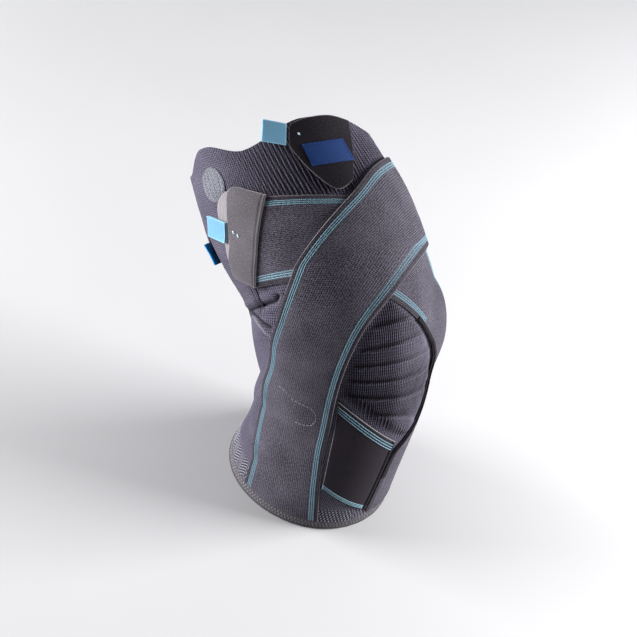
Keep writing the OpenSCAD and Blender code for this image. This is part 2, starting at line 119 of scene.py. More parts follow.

# %% [markdown]
# ## One recipe for all the cloths
# Knit, webbing, brushed loop cloth and ribbon differ in scale and colour more than in kind. Each has
# threads across, threads along, some fuzz and some uneven dye. Image textures could show that, but they
# blur in close views, so the recipe works the threads out from a UV map that counts millimetres on the
# cloth. Two values are kept on each point of a mesh. One paints shade into a fold, a crease or a gap,
# and a darker yarn where a pattern or a tight weave has one. The other, edge, paints a highlight on a cut
# border or a fold, light on a lit side, and a paler yarn in a pattern.


# %% Cloth finish
def cloth_finish(name, dark, light, across, along, fuzz=0.3, grain=0.6, roughness=0.9, sheen=0.04,
                 relief=0.25, hollow=(0.004, 0.003, 0.005), edge=(0.2, 0.19, 0.2), slant=0.0):
    """Threads as two crossed ripples with pitches across and along, in millimetres, each with its strength.

    Colour goes from dark between the threads to light on top of them, and fuzz adds an uneven dye.
    relief is the height of the threads in millimetres, and slant skews the rows into a twill. The colour
    given for painted shade is mixed in by a mesh's painted shade value. The edge colour is mixed in by its
    edge value, and it is a painted highlight on rims and folds, painted light on a lit side and a paler yarn.
    """
    made = bpy.data.materials.new(name)
    made.use_nodes = True
    tree = made.node_tree
    shader = tree.nodes["Principled BSDF"]
    place = add_node(tree, "UVMap", {}, uv_map="cloth").outputs[0]
    parts = add_node(tree, "SeparateXYZ", {0: place})
    x = parts.outputs[0]
    y = calc(tree, "MULTIPLY_ADD", x, slant, parts.outputs[1])
    rows = calc(tree, "MULTIPLY", ripple(tree, x, across[0]), across[1])
    stitches = calc(tree, "MULTIPLY", ripple(tree, y, along[0]), along[1])
    threads = calc(tree, "ADD", rows, stitches)
    hair = add_node(tree, "TexNoise", {"Vector": place, "Scale": grain, "Detail": 4.0, "Roughness": 0.65})
    dye = add_node(tree, "TexNoise", {"Vector": place, "Scale": 0.035, "Detail": 2.0})
    uneven = calc(tree, "MULTIPLY_ADD", dye.outputs[0], 0.3, hair.outputs[0])
    uneven = calc(tree, "MULTIPLY", calc(tree, "SUBTRACT", uneven, 0.65), 2 * fuzz)
    tone = calc(tree, "ADD", threads, uneven)
    tone.node.use_clamp = True
    colour = mix_colour(tree, tone, paint(*dark), paint(*light))
    # Painted shade: the mesh's painted shade value mixes in the colour given for it.
    shade_and_yarn_tone = add_node(tree, "Attribute", {}, attribute_name="hollow").outputs["Fac"]
    colour = mix_colour(tree, shade_and_yarn_tone, colour, paint(*hollow))
    # Painted highlight on rims and folds, painted light on a lit side, and paler yarn: the edge value mixes
    # in the edge colour.
    border = add_node(tree, "Attribute", {}, attribute_name="edge").outputs["Fac"]
    colour = mix_colour(tree, border, colour, paint(*edge))
    tree.links.new(colour, shader.inputs["Base Color"])
    height = calc(tree, "ADD", threads, calc(tree, "MULTIPLY", hair.outputs[0], fuzz))
    bump = add_node(tree, "Bump", {"Height": height, "Distance": relief * 0.001, "Strength": 0.9})
    tree.links.new(bump.outputs[0], shader.inputs["Normal"])
    shader.inputs["Roughness"].default_value = roughness
    shader.inputs["Sheen Weight"].default_value = sheen
    shader.inputs["Sheen Roughness"].default_value = 0.4
    shader.inputs["Sheen Tint"].default_value = paint(0.8, 0.76, 0.92)
    shader.inputs["Specular IOR Level"].default_value = 0.1
    return made


# In each finish below, the colour for painted shade goes into folds, creases and gaps, and into a tighter
# weave where a piece has one. The edge colour is a painted highlight on the rims of its pieces. The knit's
# edge colour is also a painted highlight on a fold and painted light on the kneecap's inner side.
knit_dark = (0.01, 0.008, 0.014)
knit_light = (0.115, 0.106, 0.148)
knit = cloth_finish("ribbed_knit", knit_dark, knit_light, (1.652, 0.6), (1.5, 0.35), fuzz=0.8, grain=0.9,
                    relief=0.4, edge=(0.32, 0.3, 0.35))
hem_knit = cloth_finish("hem_knit", (0.06, 0.055, 0.062), (0.34, 0.32, 0.35), (1.7, 0.5), (1.3, 0.5),
                        hollow=(0.014, 0.012, 0.015))
webbing = cloth_finish("elastic_webbing", (0.016, 0.014, 0.02), (0.12, 0.11, 0.14), (1.6, 0.42), (1.2, 0.38),
                       fuzz=1.2, grain=0.8, slant=0.5, relief=0.35, edge=(0.17, 0.15, 0.155))
panel_cloth = cloth_finish("smooth_panel_cloth", (0.012, 0.009, 0.013), (0.026, 0.021, 0.028), (1.3, 0.4),
                           (1.0, 0.4), relief=0.12)
thread = cloth_finish("sea_blue_thread", (0.1, 0.18, 0.225), (0.22, 0.36, 0.43), (0.9, 0.5), (0.9, 0.5),
                      roughness=0.6, relief=0.05)
tack_thread = cloth_finish("pale_blue_thread", (0.3, 0.42, 0.52), (0.5, 0.64, 0.74), (0.6, 0.5), (0.6, 0.5),
                           roughness=0.6, relief=0.05)
pale_thread = cloth_finish("pale_thread", (0.2, 0.19, 0.19), (0.4, 0.38, 0.38), (0.6, 0.5), (0.6, 0.5),
                           roughness=0.6, relief=0.05)
loop_cloth = cloth_finish("grey_loop_cloth", (0.055, 0.05, 0.057), (0.2, 0.183, 0.2), (0.9, 0.2), (0.9, 0.2),
                          fuzz=0.9, grain=1.1, relief=0.3, sheen=0.15, edge=(0.3, 0.27, 0.27))
dark_loop_cloth = cloth_finish("dark_loop_cloth", (0.006, 0.004, 0.006), (0.028, 0.027, 0.036), (0.9, 0.2),
                               (0.9, 0.2), fuzz=0.9, grain=1.0, relief=0.3, edge=(0.12, 0.1, 0.11))
pale_hook = cloth_finish("pale_hook_tape", (0.15, 0.135, 0.148), (0.25, 0.23, 0.245), (1.2, 0.5), (1.2, 0.5),
                         fuzz=0.2, relief=0.35, roughness=0.5)
dark_hook = cloth_finish("dark_hook_tape", (0.012, 0.012, 0.014), (0.05, 0.05, 0.055), (1.2, 0.5), (1.2, 0.5),
                         fuzz=0.2, relief=0.35, roughness=0.5)
pull_ribbon = cloth_finish("light_blue_ribbon", (0.1, 0.25, 0.37), (0.18, 0.35, 0.49), (0.7, 0.3),
                           (1.0, 0.5), fuzz=0.25, relief=0.1, roughness=0.55, edge=(0.26, 0.5, 0.64))
deep_ribbon = cloth_finish("deep_blue_ribbon", (0.006, 0.15, 0.4), (0.014, 0.25, 0.58), (0.7, 0.3),
                           (1.0, 0.5), fuzz=0.25, relief=0.1, roughness=0.55, edge=(0.02, 0.22, 0.45))
label_weave = cloth_finish("plain_blue_label", (0.006, 0.02, 0.085), (0.012, 0.045, 0.17), (0.8, 0.4),
                           (0.6, 0.5), fuzz=0.2, relief=0.12, roughness=0.6, edge=(0.01, 0.04, 0.16))
grip_yarn = cloth_finish("grip_yarn", (0.04, 0.038, 0.05), (0.21, 0.22, 0.25), (1.9, 0.45), (1.9, 0.45),
                         slant=1.0, fuzz=1.1, grain=0.75, relief=0.4, roughness=0.55)
black_binding = cloth_finish("black_binding", (0.004, 0.003, 0.004), (0.012, 0.01, 0.013), (0.9, 0.4),
                             (0.9, 0.4), relief=0.1, sheen=0.05)
print("cloth finishes:", len(bpy.data.materials))

# %% [markdown]
# ## The leg's surface
# All the cloth follows the worn leg, so one formula carries every piece. A place is a turn in degrees
# from the front towards the outer side, and a height in millimetres up the leg's bent middle line. The
# alternative, shrink-wrapping flat pieces onto a body, would slide them about and give no exact place for
# a seam.

# %% Leg surface
sleeve_length = 290.0
flexion = 50.0
thigh_lean = 14.0
bend_start = 90.0
bend_length = 100.0
bend_end = bend_start + bend_length
lean_blend = 70.0
bend_radius = bend_length / math.radians(flexion)
station_heights = np.array([0, 45, 90, 130, 170, 230, 290.0])
sections = np.array([[64, 60, 63], [67, 52, 59], [67, 53, 60], [65, 62, 62], [71, 68, 67], [74, 74, 72],
                     [64, 70, 63.0]])
before = np.maximum(np.arange(7) - 1, 0)
after = np.minimum(np.arange(7) + 1, 6)
slopes = (sections[after] - sections[before]) / (station_heights[after] - station_heights[before])[:, None]


def smooth(t):
    """The ease from 0 to 1 that starts and ends level: 3t^2 - 2t^3."""
    c = np.clip(t, 0, 1)
    return c * c * (3 - 2 * c)


def bell(away, width):
    """A bump that is 1 in its middle and falls off on both sides: e to the power -(away / width)^2."""
    return np.exp(-((away / width) ** 2))


def wave(count):
    """A cosine that is 1 at every whole count and 0 half way between."""
    return 0.5 + 0.5 * np.cos(2 * np.pi * count)


def section(height):
    """Front depth, back depth and half width of the leg: a cubic through given stations."""
    v = np.clip(height, 0, sleeve_length)
    i = np.clip(np.searchsorted(station_heights, v, side="right") - 1, 0, 5)
    span = (station_heights[i + 1] - station_heights[i])[..., None]
    t = (v - station_heights[i])[..., None] / span
    low = (2 * t**3 - 3 * t**2 + 1) * sections[i] + (t**3 - 2 * t**2 + t) * span * slopes[i]
    return low + (3 * t**2 - 2 * t**3) * sections[i + 1] + (t**3 - t**2) * span * slopes[i + 1]


def tilt(height):
    """How far the leg's middle line has bent back at a height, in radians."""
    return np.radians(flexion) * np.clip((height - bend_start) / bend_length, 0, 1)


def leg_middle(height):
    """The leg's middle line: a straight shin, an arc at the knee and a straight thigh that leans outwards."""
    past = np.maximum(height - bend_end, 0)
    x = np.maximum(height - bend_start - bend_length / 2 + lean_blend / 2, 0)
    ramp = np.where(x < lean_blend, x * x / (2 * lean_blend), x - lean_blend / 2)
    bent = tilt(height)
    end = math.radians(flexion)
    forward = -bend_radius * (1 - np.cos(bent)) - math.sin(end) * past
    up = np.minimum(height, bend_start) + bend_radius * np.sin(bent) + math.cos(end) * past
    return np.stack([forward, -math.tan(math.radians(thigh_lean)) * ramp, up], -1)


def leg_point(turn, height, lift=0.0):
    """A point lift millimetres outside the knit: middle line plus an ellipse, moved out along its normal."""
    turn, height, lift = np.broadcast_arrays(*[np.asarray(a, float) for a in (turn, height, lift)])
    size = section(height)
    angle = np.radians(turn)
    depth = np.where(np.cos(angle) > 0, size[..., 0], size[..., 1])
    normal = np.stack([np.cos(angle) / depth, np.sin(angle) / size[..., 2]], -1)
    normal = normal / np.linalg.norm(normal, axis=-1, keepdims=True)
    flat = np.stack([depth * np.cos(angle), size[..., 2] * np.sin(angle)], -1) + normal * lift[..., None]
    bent = tilt(height)
    turned = np.stack([flat[..., 0] * np.cos(bent), -flat[..., 1], flat[..., 0] * np.sin(bent)], -1)
    return (leg_middle(height) + turned) * 0.001


def on_leg(place, lift):
    """The point over a place that holds its turn and its height."""
    return leg_point(place[..., 0], place[..., 1], lift)


def curve(points, t):
    """A smooth line through listed places at t from 0 to 1: a Catmull-Rom cubic on each stretch."""
    points = np.asarray(points, float)
    last = len(points) - 1
    x = np.clip(t, 0, 1) * last
    i = np.minimum(x.astype(int), last - 1)
    f = (x - i)[..., None]
    a = points[np.maximum(i - 1, 0)]
    b = points[i]
    c = points[i + 1]
    d = points[np.minimum(i + 2, last)]
    return 0.5 * (2 * b + (c - a) * f + (2 * a - 5 * b + 4 * c - d) * f**2 + (3 * b - a - 3 * c + d) * f**3)


def mix(a, b, t):
    """The place a share t of the way from a to b."""
    return np.asarray(a, float) + (np.asarray(b, float) - np.asarray(a, float)) * np.asarray(t)[..., None]


print("girth below the knee", round(math.pi * float(section(np.array(80.0)) @ [0.5, 0.5, 1.0])), "mm")

# %% [markdown]
# ## From arrays to a mesh
# A surface worked out as a grid of points becomes a mesh in one go with foreach_set, which is far quicker
# than adding vertices one at a time. The UV map is kept on the face corners, so that a closed ring of
# cloth has no jump in its pattern where the ring meets itself.


# %% Mesh helpers
def quads(index, ring=False, tube=False):
    """Faces of a grid of point numbers: each cell's four corners.

    With ring the last column is joined to the first, and with tube the last row is.
    """
    if ring:
        index = np.concatenate([index, index[:, :1]], 1)
    if tube:
        index = np.concatenate([index, index[:1]], 0)
    return np.stack([index[:-1, :-1], index[:-1, 1:], index[1:, 1:], index[1:, :-1]], -1).reshape(-1, 4)


def corner_values(grid):
    """The value of each face corner, in the order in which quads lists them."""
    cells = np.stack([grid[:-1, :-1], grid[:-1, 1:], grid[1:, 1:], grid[1:, :-1]], 2)
    return cells.reshape(-1, 4, grid.shape[-1])


def add_piece(name, points, faces, finish, uv, **layers):
    """A smooth mesh object at the origin from points, four-cornered faces, corner UVs and point values.

    Every piece is closed, so the sign of its volume says whether its faces point outwards.
    """
    a, b, c, d = (np.asarray(points)[faces[:, k]] for k in range(4))
    if (np.einsum("ij,ij->i", a, np.cross(b, c) + np.cross(c, d))).sum() < 0:
        faces = faces[:, ::-1]
        uv = uv[:, ::-1]
    mesh = bpy.data.meshes.new(name)
    mesh.vertices.add(len(points))
    mesh.vertices.foreach_set("co", np.asarray(points, np.float32).ravel())
    mesh.loops.add(faces.size)
    mesh.loops.foreach_set("vertex_index", faces.astype(np.int32).ravel())
    mesh.polygons.add(len(faces))
    mesh.polygons.foreach_set("loop_start", np.arange(0, faces.size, 4, dtype=np.int32))
    mesh.update(calc_edges=True)
    mesh.uv_layers.new(name="cloth").data.foreach_set("uv", np.asarray(uv, np.float32).ravel())
    for layer, values in layers.items():
        stored = mesh.attributes.new(layer, "FLOAT", "POINT")
        stored.data.foreach_set("value", values.astype(np.float32).ravel())
    mesh.validate()
    mesh.shade_smooth()
    mesh.materials.append(finish)
    made = bpy.data.objects.new(name, mesh)
    bpy.context.scene.collection.objects.link(made)
    return made


def spread(steps, length, rim):
    """Places from 0 to 1: even steps, with three more close to each end where the rim turns round."""
    near = rim / length * np.array([0, 0.13, 0.5])
    even = np.linspace(rim / length, 1 - rim / length, steps)
    return np.concatenate([near, even, 1 - near[::-1]])


def sheet_piece(name, surface, size, steps, thickness, finish, relief=None, hollow=None, rim_highlight_width=0.5):
    """A cloth with a rounded rim: surface(x, y, lift) is its underside, raised by lift.

    Both x and y run from 0 to 1 over the cloth. The upper and the under face swell from the shared border
    by a quarter circle, so the mesh is closed. size is about how wide and long the cloth is, in
    millimetres, and steps is how many even places it has each way.
    """
    rim = thickness * 0.6
    x = spread(steps[0], size[0], rim)
    y = spread(steps[1], size[1], rim)
    grid_y, grid_x = np.meshgrid(y, x, indexing="ij")
    inward = np.minimum(np.minimum(grid_x, 1 - grid_x) * size[0], np.minimum(grid_y, 1 - grid_y) * size[1])
    swell = np.sqrt(1 - (1 - np.clip(inward / rim, 0, 1)) ** 2) * thickness / 2
    raised = np.zeros_like(swell) if relief is None else relief(grid_x, grid_y) * np.clip(inward / rim, 0, 1)
    upper = surface(grid_x, grid_y, thickness / 2 + swell + raised)
    under = surface(grid_x, grid_y, thickness / 2 - swell)
    count = upper.shape[0] * upper.shape[1]
    top_index = np.arange(count).reshape(upper.shape[:2])
    low_index = top_index.copy()
    low_index[1:-1, 1:-1] = count + np.arange((len(y) - 2) * (len(x) - 2)).reshape(len(y) - 2, len(x) - 2)
    points = np.concatenate([upper.reshape(-1, 3), under[1:-1, 1:-1].reshape(-1, 3)])
    uv = corner_values(np.stack([grid_x * size[0], grid_y * size[1]], -1))
    faces = np.concatenate([quads(top_index), quads(low_index)[:, ::-1]])
    uv = np.concatenate([uv, uv[:, ::-1]])
    # The piece's painted shade, or its darker weave, and a painted highlight along the rim, as wide as given.
    shade_and_yarn_tone = np.zeros_like(inward) if hollow is None else hollow(grid_x, grid_y)
    border = smooth(1.2 - inward / rim_highlight_width) * (rim_highlight_width > 0)
    both = [np.concatenate([a.ravel(), a[1:-1, 1:-1].ravel()]) for a in (shade_and_yarn_tone, border)]
    made = add_piece(name, points, faces, finish, uv, hollow=both[0], edge=both[1])
    first = points[quads(top_index)]
    area = np.linalg.norm(np.cross(first[:, 2] - first[:, 0], first[:, 3] - first[:, 1]), axis=1).sum() / 2
    print(f"{name}: {len(faces)} faces, {area * 1e4:.1f} square cm")
    return made


print("mesh helpers ready")

# %% [markdown]
# ## Over the side stays
# A hinged steel stay lies under the cloth on each side of the knee, and every layer over it has to rise.
# One formula for that rise keeps the knit, the straps and the tabs in the same order everywhere, which a
# separate bump on each of them wouldn't. The knit covers the pivots, and pockets cover the bars.

# %% Rise over the stays
layer_gap = 0.5
stay_pivot = np.array([0, -2.18, 143.43])
stay_lean = math.radians(7.1)
lower_stay = 80
upper_stay = 71
bend = math.radians(flexion)
stay_ends = np.array([[0, -lower_stay], [-upper_stay * math.sin(bend), upper_stay * math.cos(bend)]])
over_pocket = 3.2
over_pivot = 8.85
pivot_flat = 13
bar_flat = 13.5


def from_pivot(turn, height):
    """How far a place lies from the stays' pivot, forwards and upwards, seen along the pivot."""
    away = leg_point(turn, height) * 1000 - stay_pivot
    upwards = away[..., 2] * math.cos(stay_lean) - away[..., 1] * math.sin(stay_lean)
    return np.stack([away[..., 0], upwards], -1)


def bar_distance(flat):
    """How far a place lies from the nearer bar of a stay; past the bar's end it counts as further off."""
    away = []
    for end in stay_ends:
        share = (flat @ end) / (end @ end)
        beside = np.linalg.norm(flat - np.clip(share, 0, 1)[..., None] * end, axis=-1)
        away.append(beside + 0.7 * np.maximum(share - 1, 0) * np.linalg.norm(end))
    return np.minimum(*away)


def stay_lift(turn, height):
    """How far cloth rises over a side stay: a plateau round its two bars and a higher one round its pivot."""
    flat = from_pivot(turn, height)
    half = np.abs((turn + 180) % 360 - 180)
    pivot = over_pivot * (1 - smooth((np.linalg.norm(flat, axis=-1) - pivot_flat) / 33))
    rise = np.maximum(over_pocket * (1 - smooth((bar_distance(flat) - bar_flat) / 26)), pivot)
    return np.where((half < 30) | (half > 150), 0, rise)


def stay_rise(place):
    """The rise over a stay at a place that holds its turn and its height."""
    return stay_lift(*np.moveaxis(place, -1, 0))


def hinge_cover(turn, height):
    """The knit's own rise: all that a pivot needs close to it, and none where the pockets begin."""
    rise = stay_lift(turn, height)
    near = 1 - smooth((np.linalg.norm(from_pivot(turn, height), axis=-1) - 30) / 15)
    return near * (rise + 0.25 * smooth(rise))


print("cloth rises", over_pivot, "mm over a pivot and", over_pocket, "mm over a bar")

# %% [markdown]
# ## The knit sleeve
# The sleeve is one tube of elastic knit: broad ribs on the thigh, fine columns with creases over the
# kneecap, and folds in the hollow of the knee. A plain tube with a bump texture would look printed at
# this range, so those forms are in the mesh. Points are closer together where the ribs and creases are.

# %% Knit relief
rib_turns = np.arange(-64, 78, 0.05)
rib_pitch = np.interp(rib_turns, [-64, -45, 38, 66, 78], [1.7, 2.1, 2.4, 1.3, 1.3])
rib_counts = np.cumsum(0.05 / rib_pitch)
crease_heights = np.array([92, 101.5, 111, 120.5, 129.7, 138.8, 148, 158.5, 170.0])
upper_slit = [(99, 165.5), (87, 169.3), (77.3, 172), (70.2, 173.5), (66.7, 176.5)]
lower_slit = [(95, 166), (90, 162), (82, 158.6), (76.3, 157)]
fold_line = [(97, 164), (91.5, 160.8), (85.5, 157), (81, 154), (77.3, 151.5)]
mm_per_degree = 1.18


def top_edge(turn):
    """Height of the top edge: high at the front, a dip beside it, an ear at the side and low at the back."""
    half = np.abs((np.asarray(turn, float) + 180) % 360 - 180)
    dip = -14.5 * smooth((half - 8) / 46)
    ear = 9 * smooth((half - 52) / 28) - 14 * smooth((half - 84) / 24)
    return sleeve_length + dip + ear


def path_distance(turn, height, places):
    """Distance in millimetres from a line of places, the least over its straight stretches."""
    best = np.full(np.shape(turn), 1e9)
    scale = np.array([mm_per_degree, 1.0])
    spot = np.stack([turn, height], -1) * scale
    for a, b in zip(np.array(places[:-1]) * scale, np.array(places[1:]) * scale):
        share = np.clip(((spot - a) @ (b - a)) / ((b - a) @ (b - a)), 0, 1)
        best = np.minimum(best, np.linalg.norm(spot - a - share[..., None] * (b - a), axis=-1))
    return best


def thigh_ribs(turn, height):
    """Broad ribs that open downwards: a cosine of the rib count, deepest just above the straps. The second
    value is painted shade in their valleys, weaker on the lit inner side.
    """
    straight = turn / (1 + 0.0035 * (height - 240))
    count = np.interp(straight, rib_turns, rib_counts)
    ridge = wave(count) ** 0.8
    low = np.interp(turn, [-55, -22, 2, 20, 52, 75], [257, 250, 233, 233, 240, 246])
    weight = smooth((78 - turn) / 14) * smooth((turn + 60) / 12) * smooth((height - low + 1) / 5)
    depth = np.interp(height - low, [0, 12, 45], [0.95, 0.8, 0.4]) * np.interp(turn, [45, 70], [1, 0.45])
    # Painted shade in the rib valleys, weaker towards the lit inner side.
    dark = 1.35 * np.interp(turn, [-20, 5], [0.3, 1])
    return weight * depth * (ridge - 0.8), np.clip(dark * weight * depth * (1 - ridge), 0, 1)


def panel_top(turn):
    """Height of the shin panel's upper edge, which slopes up outwards."""
    return 94 + (turn + 10.5) * 0.54


def kneecap_window(turn, height):
    """How far inside the opening over the kneecap a place lies, eased from 0 at its border to 1."""
    left = np.interp(height, [93, 105, 124, 141, 157, 169], [37, 39, 37, 31, 20, 3])
    right = np.interp(height, [84, 100, 122, 138, 153, 169], [-10, -34, -45, -40, -25, -4])
    bottom = panel_top(turn)
    inside = np.minimum(np.minimum(left - turn, turn - right) * mm_per_degree, height - bottom)
    return smooth(inside / 9)


def kneecap_knit(turn, height):
    """Fine columns crossed by creases: a pad rises slowly over each crease and ends short under the next.
    The second value is painted shade: darker on the outer half, in the creases and between the columns,
    less a painted highlight on each crease's lip.
    """
    weight = kneecap_window(turn, height)
    skew = height - np.interp(height, [100, 112, 130, 150], [0.35, 0.12, 0.03, -0.08]) * turn
    count = np.interp(skew, crease_heights, np.arange(len(crease_heights)))
    pad = smooth((count % 1) / 0.4) * smooth((1 - count % 1) / 0.13)
    lip_highlight = bell(count % 1 - 0.88, 0.06)
    side = np.interp(turn, [-45, -10, 35], [1.5, 1.0, 0.8])
    column = wave(turn / 1.4 + 0.15 * np.sin(height / 7))
    above = height - panel_top(turn)
    loose = np.interp(above, [0, 7, 20], [0.5, 0.55, 0.5])
    loop = wave(turn / 2.6)
    wide = 1 - smooth((above - 5) / 7)
    # Painted shade: the outer half of the kneecap is darker, and its creases are shaded less on the inner
    # side.
    shade = np.interp(turn, [-22, -5, 3, 25], [0.0, 0.05, 0.35, 0.45])
    deep = np.interp(turn, [-25, 0], [0.4, 1])
    raised = weight * (1.0 + side * (pad - 0.6) + loose * (column - 0.5) + wide * (loop - 0.5))
    # Painted shade in the gaps between columns and loops and in the creases, less a painted highlight on each
    # crease's lip.
    gap_shade = deep * loose * (1 - column) + 0.9 * wide * (1 - loop)
    dark = shade + 0.6 * deep * (1 - pad) ** 2 + gap_shade - 0.3 * lip_highlight
    return raised, weight * np.clip(dark, 0, 1)


def fold_strip(turn, height):
    """A narrow turned-up border below the lower slit, 1 along its middle."""
    return bell(path_distance(turn, height, fold_line), 0.65)


def hollow_knee_folds(turn, height):
    """Two slits that meet behind the outer side, pads round them, and soft folds behind the knee. The second
    value is painted shade in the slits and in the valleys of the folds.
    """
    strap = np.interp(height, [9, 40, 80, 108, 133, 155, 181], [82.5, 86.5, 90.5, 89.5, 80.5, 73.5, 57])
    band = np.interp(turn, [48, 84, 103, 130], [183, 183, 193, 212])
    weight = smooth((turn - strap - 1) / 5) * smooth((band - height) / 5)
    high = path_distance(turn, height, upper_slit)
    low = path_distance(turn, height, lower_slit)
    near = np.minimum(high, low)
    slit = bell(near, np.interp(turn, [70, 98], [0.9, 1.7]))
    pads = 0.8 * bell(near - 4.2, 2.6) + 0.8 * fold_strip(turn, height)
    lump = 3.2 * bell(turn - 110, 12) * bell(height - 80, 13)
    back = smooth((turn - 112) / 20) * smooth((250 - turn) / 20) * smooth((height - 85) / 15)
    back = back * smooth((190 - height) / 15)
    swing = (height + 5 * np.sin(np.radians(turn * 3))) / 14
    folds = back * 2.2 * (np.abs(np.sin(np.pi * swing)) ** 0.7 - 0.6)
    # Painted shade in the slits and in the fold valleys behind the knee.
    dark = 0.98 * slit + 0.5 * back * (1 - np.abs(np.sin(np.pi * swing))) ** 2
    return weight * (pads - 2.0 * slit + lump) + folds, weight * np.clip(dark, 0, 1)


# %% Knit sleeve
hem_inset = 5
sleeve_turns = np.concatenate([np.arange(-50, 65, 0.36), np.arange(65, 108, 0.55),
                               np.arange(108, 309.5, 2.0)])
sleeve_heights = np.concatenate([np.arange(hem_inset, 95, 3), np.arange(95, 186, 0.9),
                                 np.arange(186, 286, 3.2)])
lining_rows = 18
knit_thickness = 2.4


def sleeve_grid(heights, lift):
    """Turn, height and points of the tube, its rows squeezed a little where the top edge dips."""
    share = (heights - hem_inset) / (heights[-1] - hem_inset)
    turn = np.broadcast_to(sleeve_turns, (len(heights), len(sleeve_turns)))
    height = hem_inset + share[:, None] * (top_edge(sleeve_turns) - 2 * hem_inset)[None, :]
    return turn, height, leg_point(turn, height, lift(turn, height))


def knit_relief(turn, height):
    """All the knit's forms added together, and the painted shade of their ribs, creases, slits and folds."""
    forms = [thigh_ribs(turn, height), kneecap_knit(turn, height), hollow_knee_folds(turn, height)]
    raised = sum(f[0] for f in forms) + hinge_cover(turn, height)
    return raised, np.clip(sum(f[1] for f in forms), 0, 1)


turn, height, outside = sleeve_grid(sleeve_heights, lambda u, v: knit_relief(u, v)[0])
shade_and_yarn_tone = knit_relief(turn, height)[1]
lining = sleeve_grid(np.linspace(5, 285, lining_rows), lambda u, v: np.full(u.shape, -knit_thickness))[2]
outer_index = np.arange(outside[..., 0].size).reshape(outside.shape[:2])
inner_index = outer_index.size + np.arange(lining[..., 0].size).reshape(lining.shape[:2])
rims = [quads(np.stack([inner_index[0], outer_index[0]]), ring=True),
        quads(np.stack([outer_index[-1], inner_index[-1]]), ring=True)]
sleeve_faces = np.concatenate([quads(outer_index, ring=True), quads(inner_index, ring=True)[:, ::-1], *rims])


def ring_uv(turns, heights):
    """Corner UVs of a ring in millimetres, with one more column so that the pattern runs on over the join."""
    around = np.concatenate([turns, turns[:1] + 360]) * mm_per_degree
    wide = np.concatenate([heights, heights[:, :1]], 1)
    return corner_values(np.stack([np.broadcast_to(around, wide.shape), wide], -1))


lining_heights = np.broadcast_to(np.linspace(5, 280, lining_rows)[:, None], inner_index.shape)
rim_uv = ring_uv(sleeve_turns, np.stack([height[0], height[0] + 2]))
sleeve_uv = np.concatenate([ring_uv(sleeve_turns, height), ring_uv(sleeve_turns, lining_heights)[:, ::-1],
                            rim_uv, rim_uv])
sleeve_points = np.concatenate([outside.reshape(-1, 3), lining.reshape(-1, 3)])
# Painted highlight on the turned-up fold strip and painted light on the kneecap's inner side, mixed in as the
# knit's edge colour.
highlight_and_pale_yarn = 0.35 * fold_strip(turn, height) * (turn > 70) * (turn < 110)
highlight_and_pale_yarn = highlight_and_pale_yarn + 0.12 * kneecap_window(turn, height) * smooth((2 - turn) / 12) * (1 - shade_and_yarn_tone)
plain = np.zeros(inner_index.size)
sleeve = add_piece("knit_sleeve", sleeve_points, sleeve_faces, knit, sleeve_uv,
                   hollow=np.concatenate([shade_and_yarn_tone.ravel(), plain]), edge=np.concatenate([highlight_and_pale_yarn.ravel(), plain]))
print("sleeve faces:", len(sleeve_faces))

# %% [markdown]
# ## Pieces across the knee
# The sleeve and the straps cross the knee joint, so they can't ride on one body; they stay unparented,
# with their place baked into the mesh. The tabs and the panel lie wholly on one side and are parented to
# one body. Two helpers do this for every piece and hide the solids that it stands for.


def bends(piece, slot, *nodes):
    """The piece stands for the nodes, whose solids are hidden, and its place is baked into its mesh. slot is
    not used.
    """
    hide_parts(*nodes)
    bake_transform(piece)


def rides(piece, body, slot, *nodes):
    """The piece stands for the nodes, if it has any, whose solids are hidden, and moves with one body. slot
    is not used.
    """
    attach(piece, body)
    if nodes:
        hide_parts(*nodes)


bends(sleeve, "knit", "shin_sleeve", "knee_sleeve", "thigh_sleeve")

# %% [markdown]
# ## Hems
# Both ends of the tube are finished with a rolled border. Each is a closed profile carried round the leg,
# so the mesh is a ring with no open edge. The lower one has small knots in rows, which catch the light as
# dots; the upper one carries the ribs of the thigh up to its edge. Above the lower hem runs a patterned
# border of raised yarn, which is a third, thinner ring.

# %% Hem rings
floor_gap = 0.02


def hem_ring(name, turns, profile, base, relief, finish):
    """A ring of cloth: profile lists (height, lift) round its section, base(turn) is added to the height."""
    turn = np.broadcast_to(turns, (len(profile), len(turns)))
    height = base(turn) + profile[:, :1]
    raised, *tones = relief(turn, height, np.broadcast_to(profile[:, 1:], turn.shape))
    points = leg_point(turn, np.clip(height, floor_gap, None), profile[:, 1:] + raised)
    index = np.arange(turn.size).reshape(turn.shape)
    faces = quads(index, ring=True, tube=True)
    girth = np.cumsum(np.hypot(*np.diff(profile, axis=0).T))
    rows = np.concatenate([[0], girth, girth[-1:] + 1])
    tall = np.broadcast_to(rows[:, None], (len(profile) + 1, len(turns)))
    return add_piece(name, points.reshape(-1, 3), faces, finish, ring_uv(turns, tall),
                     **dict(zip(("hollow", "edge"), tones)))


def rounded_profile(low, high, inside, outside, rows):
    """A closed section with round ends: up the outer face, over the top, down the inner face and under."""
    radius = (outside - inside) / 2
    middle = (outside + inside) / 2
    end = 0.8
    arc = np.linspace(0, np.pi, 9)[1:-1]
    flat = np.linspace(low + end, high - end, rows)
    outer = np.stack([flat, np.full(rows, outside)], -1)
    over = np.stack([high - end + end * np.sin(arc), middle + radius * np.cos(arc)], -1)
    inner = np.stack([flat[::4][::-1], np.full(len(flat[::4]), inside)], -1)
    under = np.stack([low + end - end * np.sin(arc), middle - radius * np.cos(arc)], -1)
    return np.concatenate([outer, over, inner, under])


def bricks(turn, height, pitch, tall):
    """Knots from -1 to 1, set like bricks: a cosine round the leg, half a pitch further on with every row."""
    row = height / tall
    around = turn * mm_per_degree / pitch + 0.5 * np.floor(row)
    return np.cos(2 * np.pi * around) * np.sin(np.pi * (row % 1))


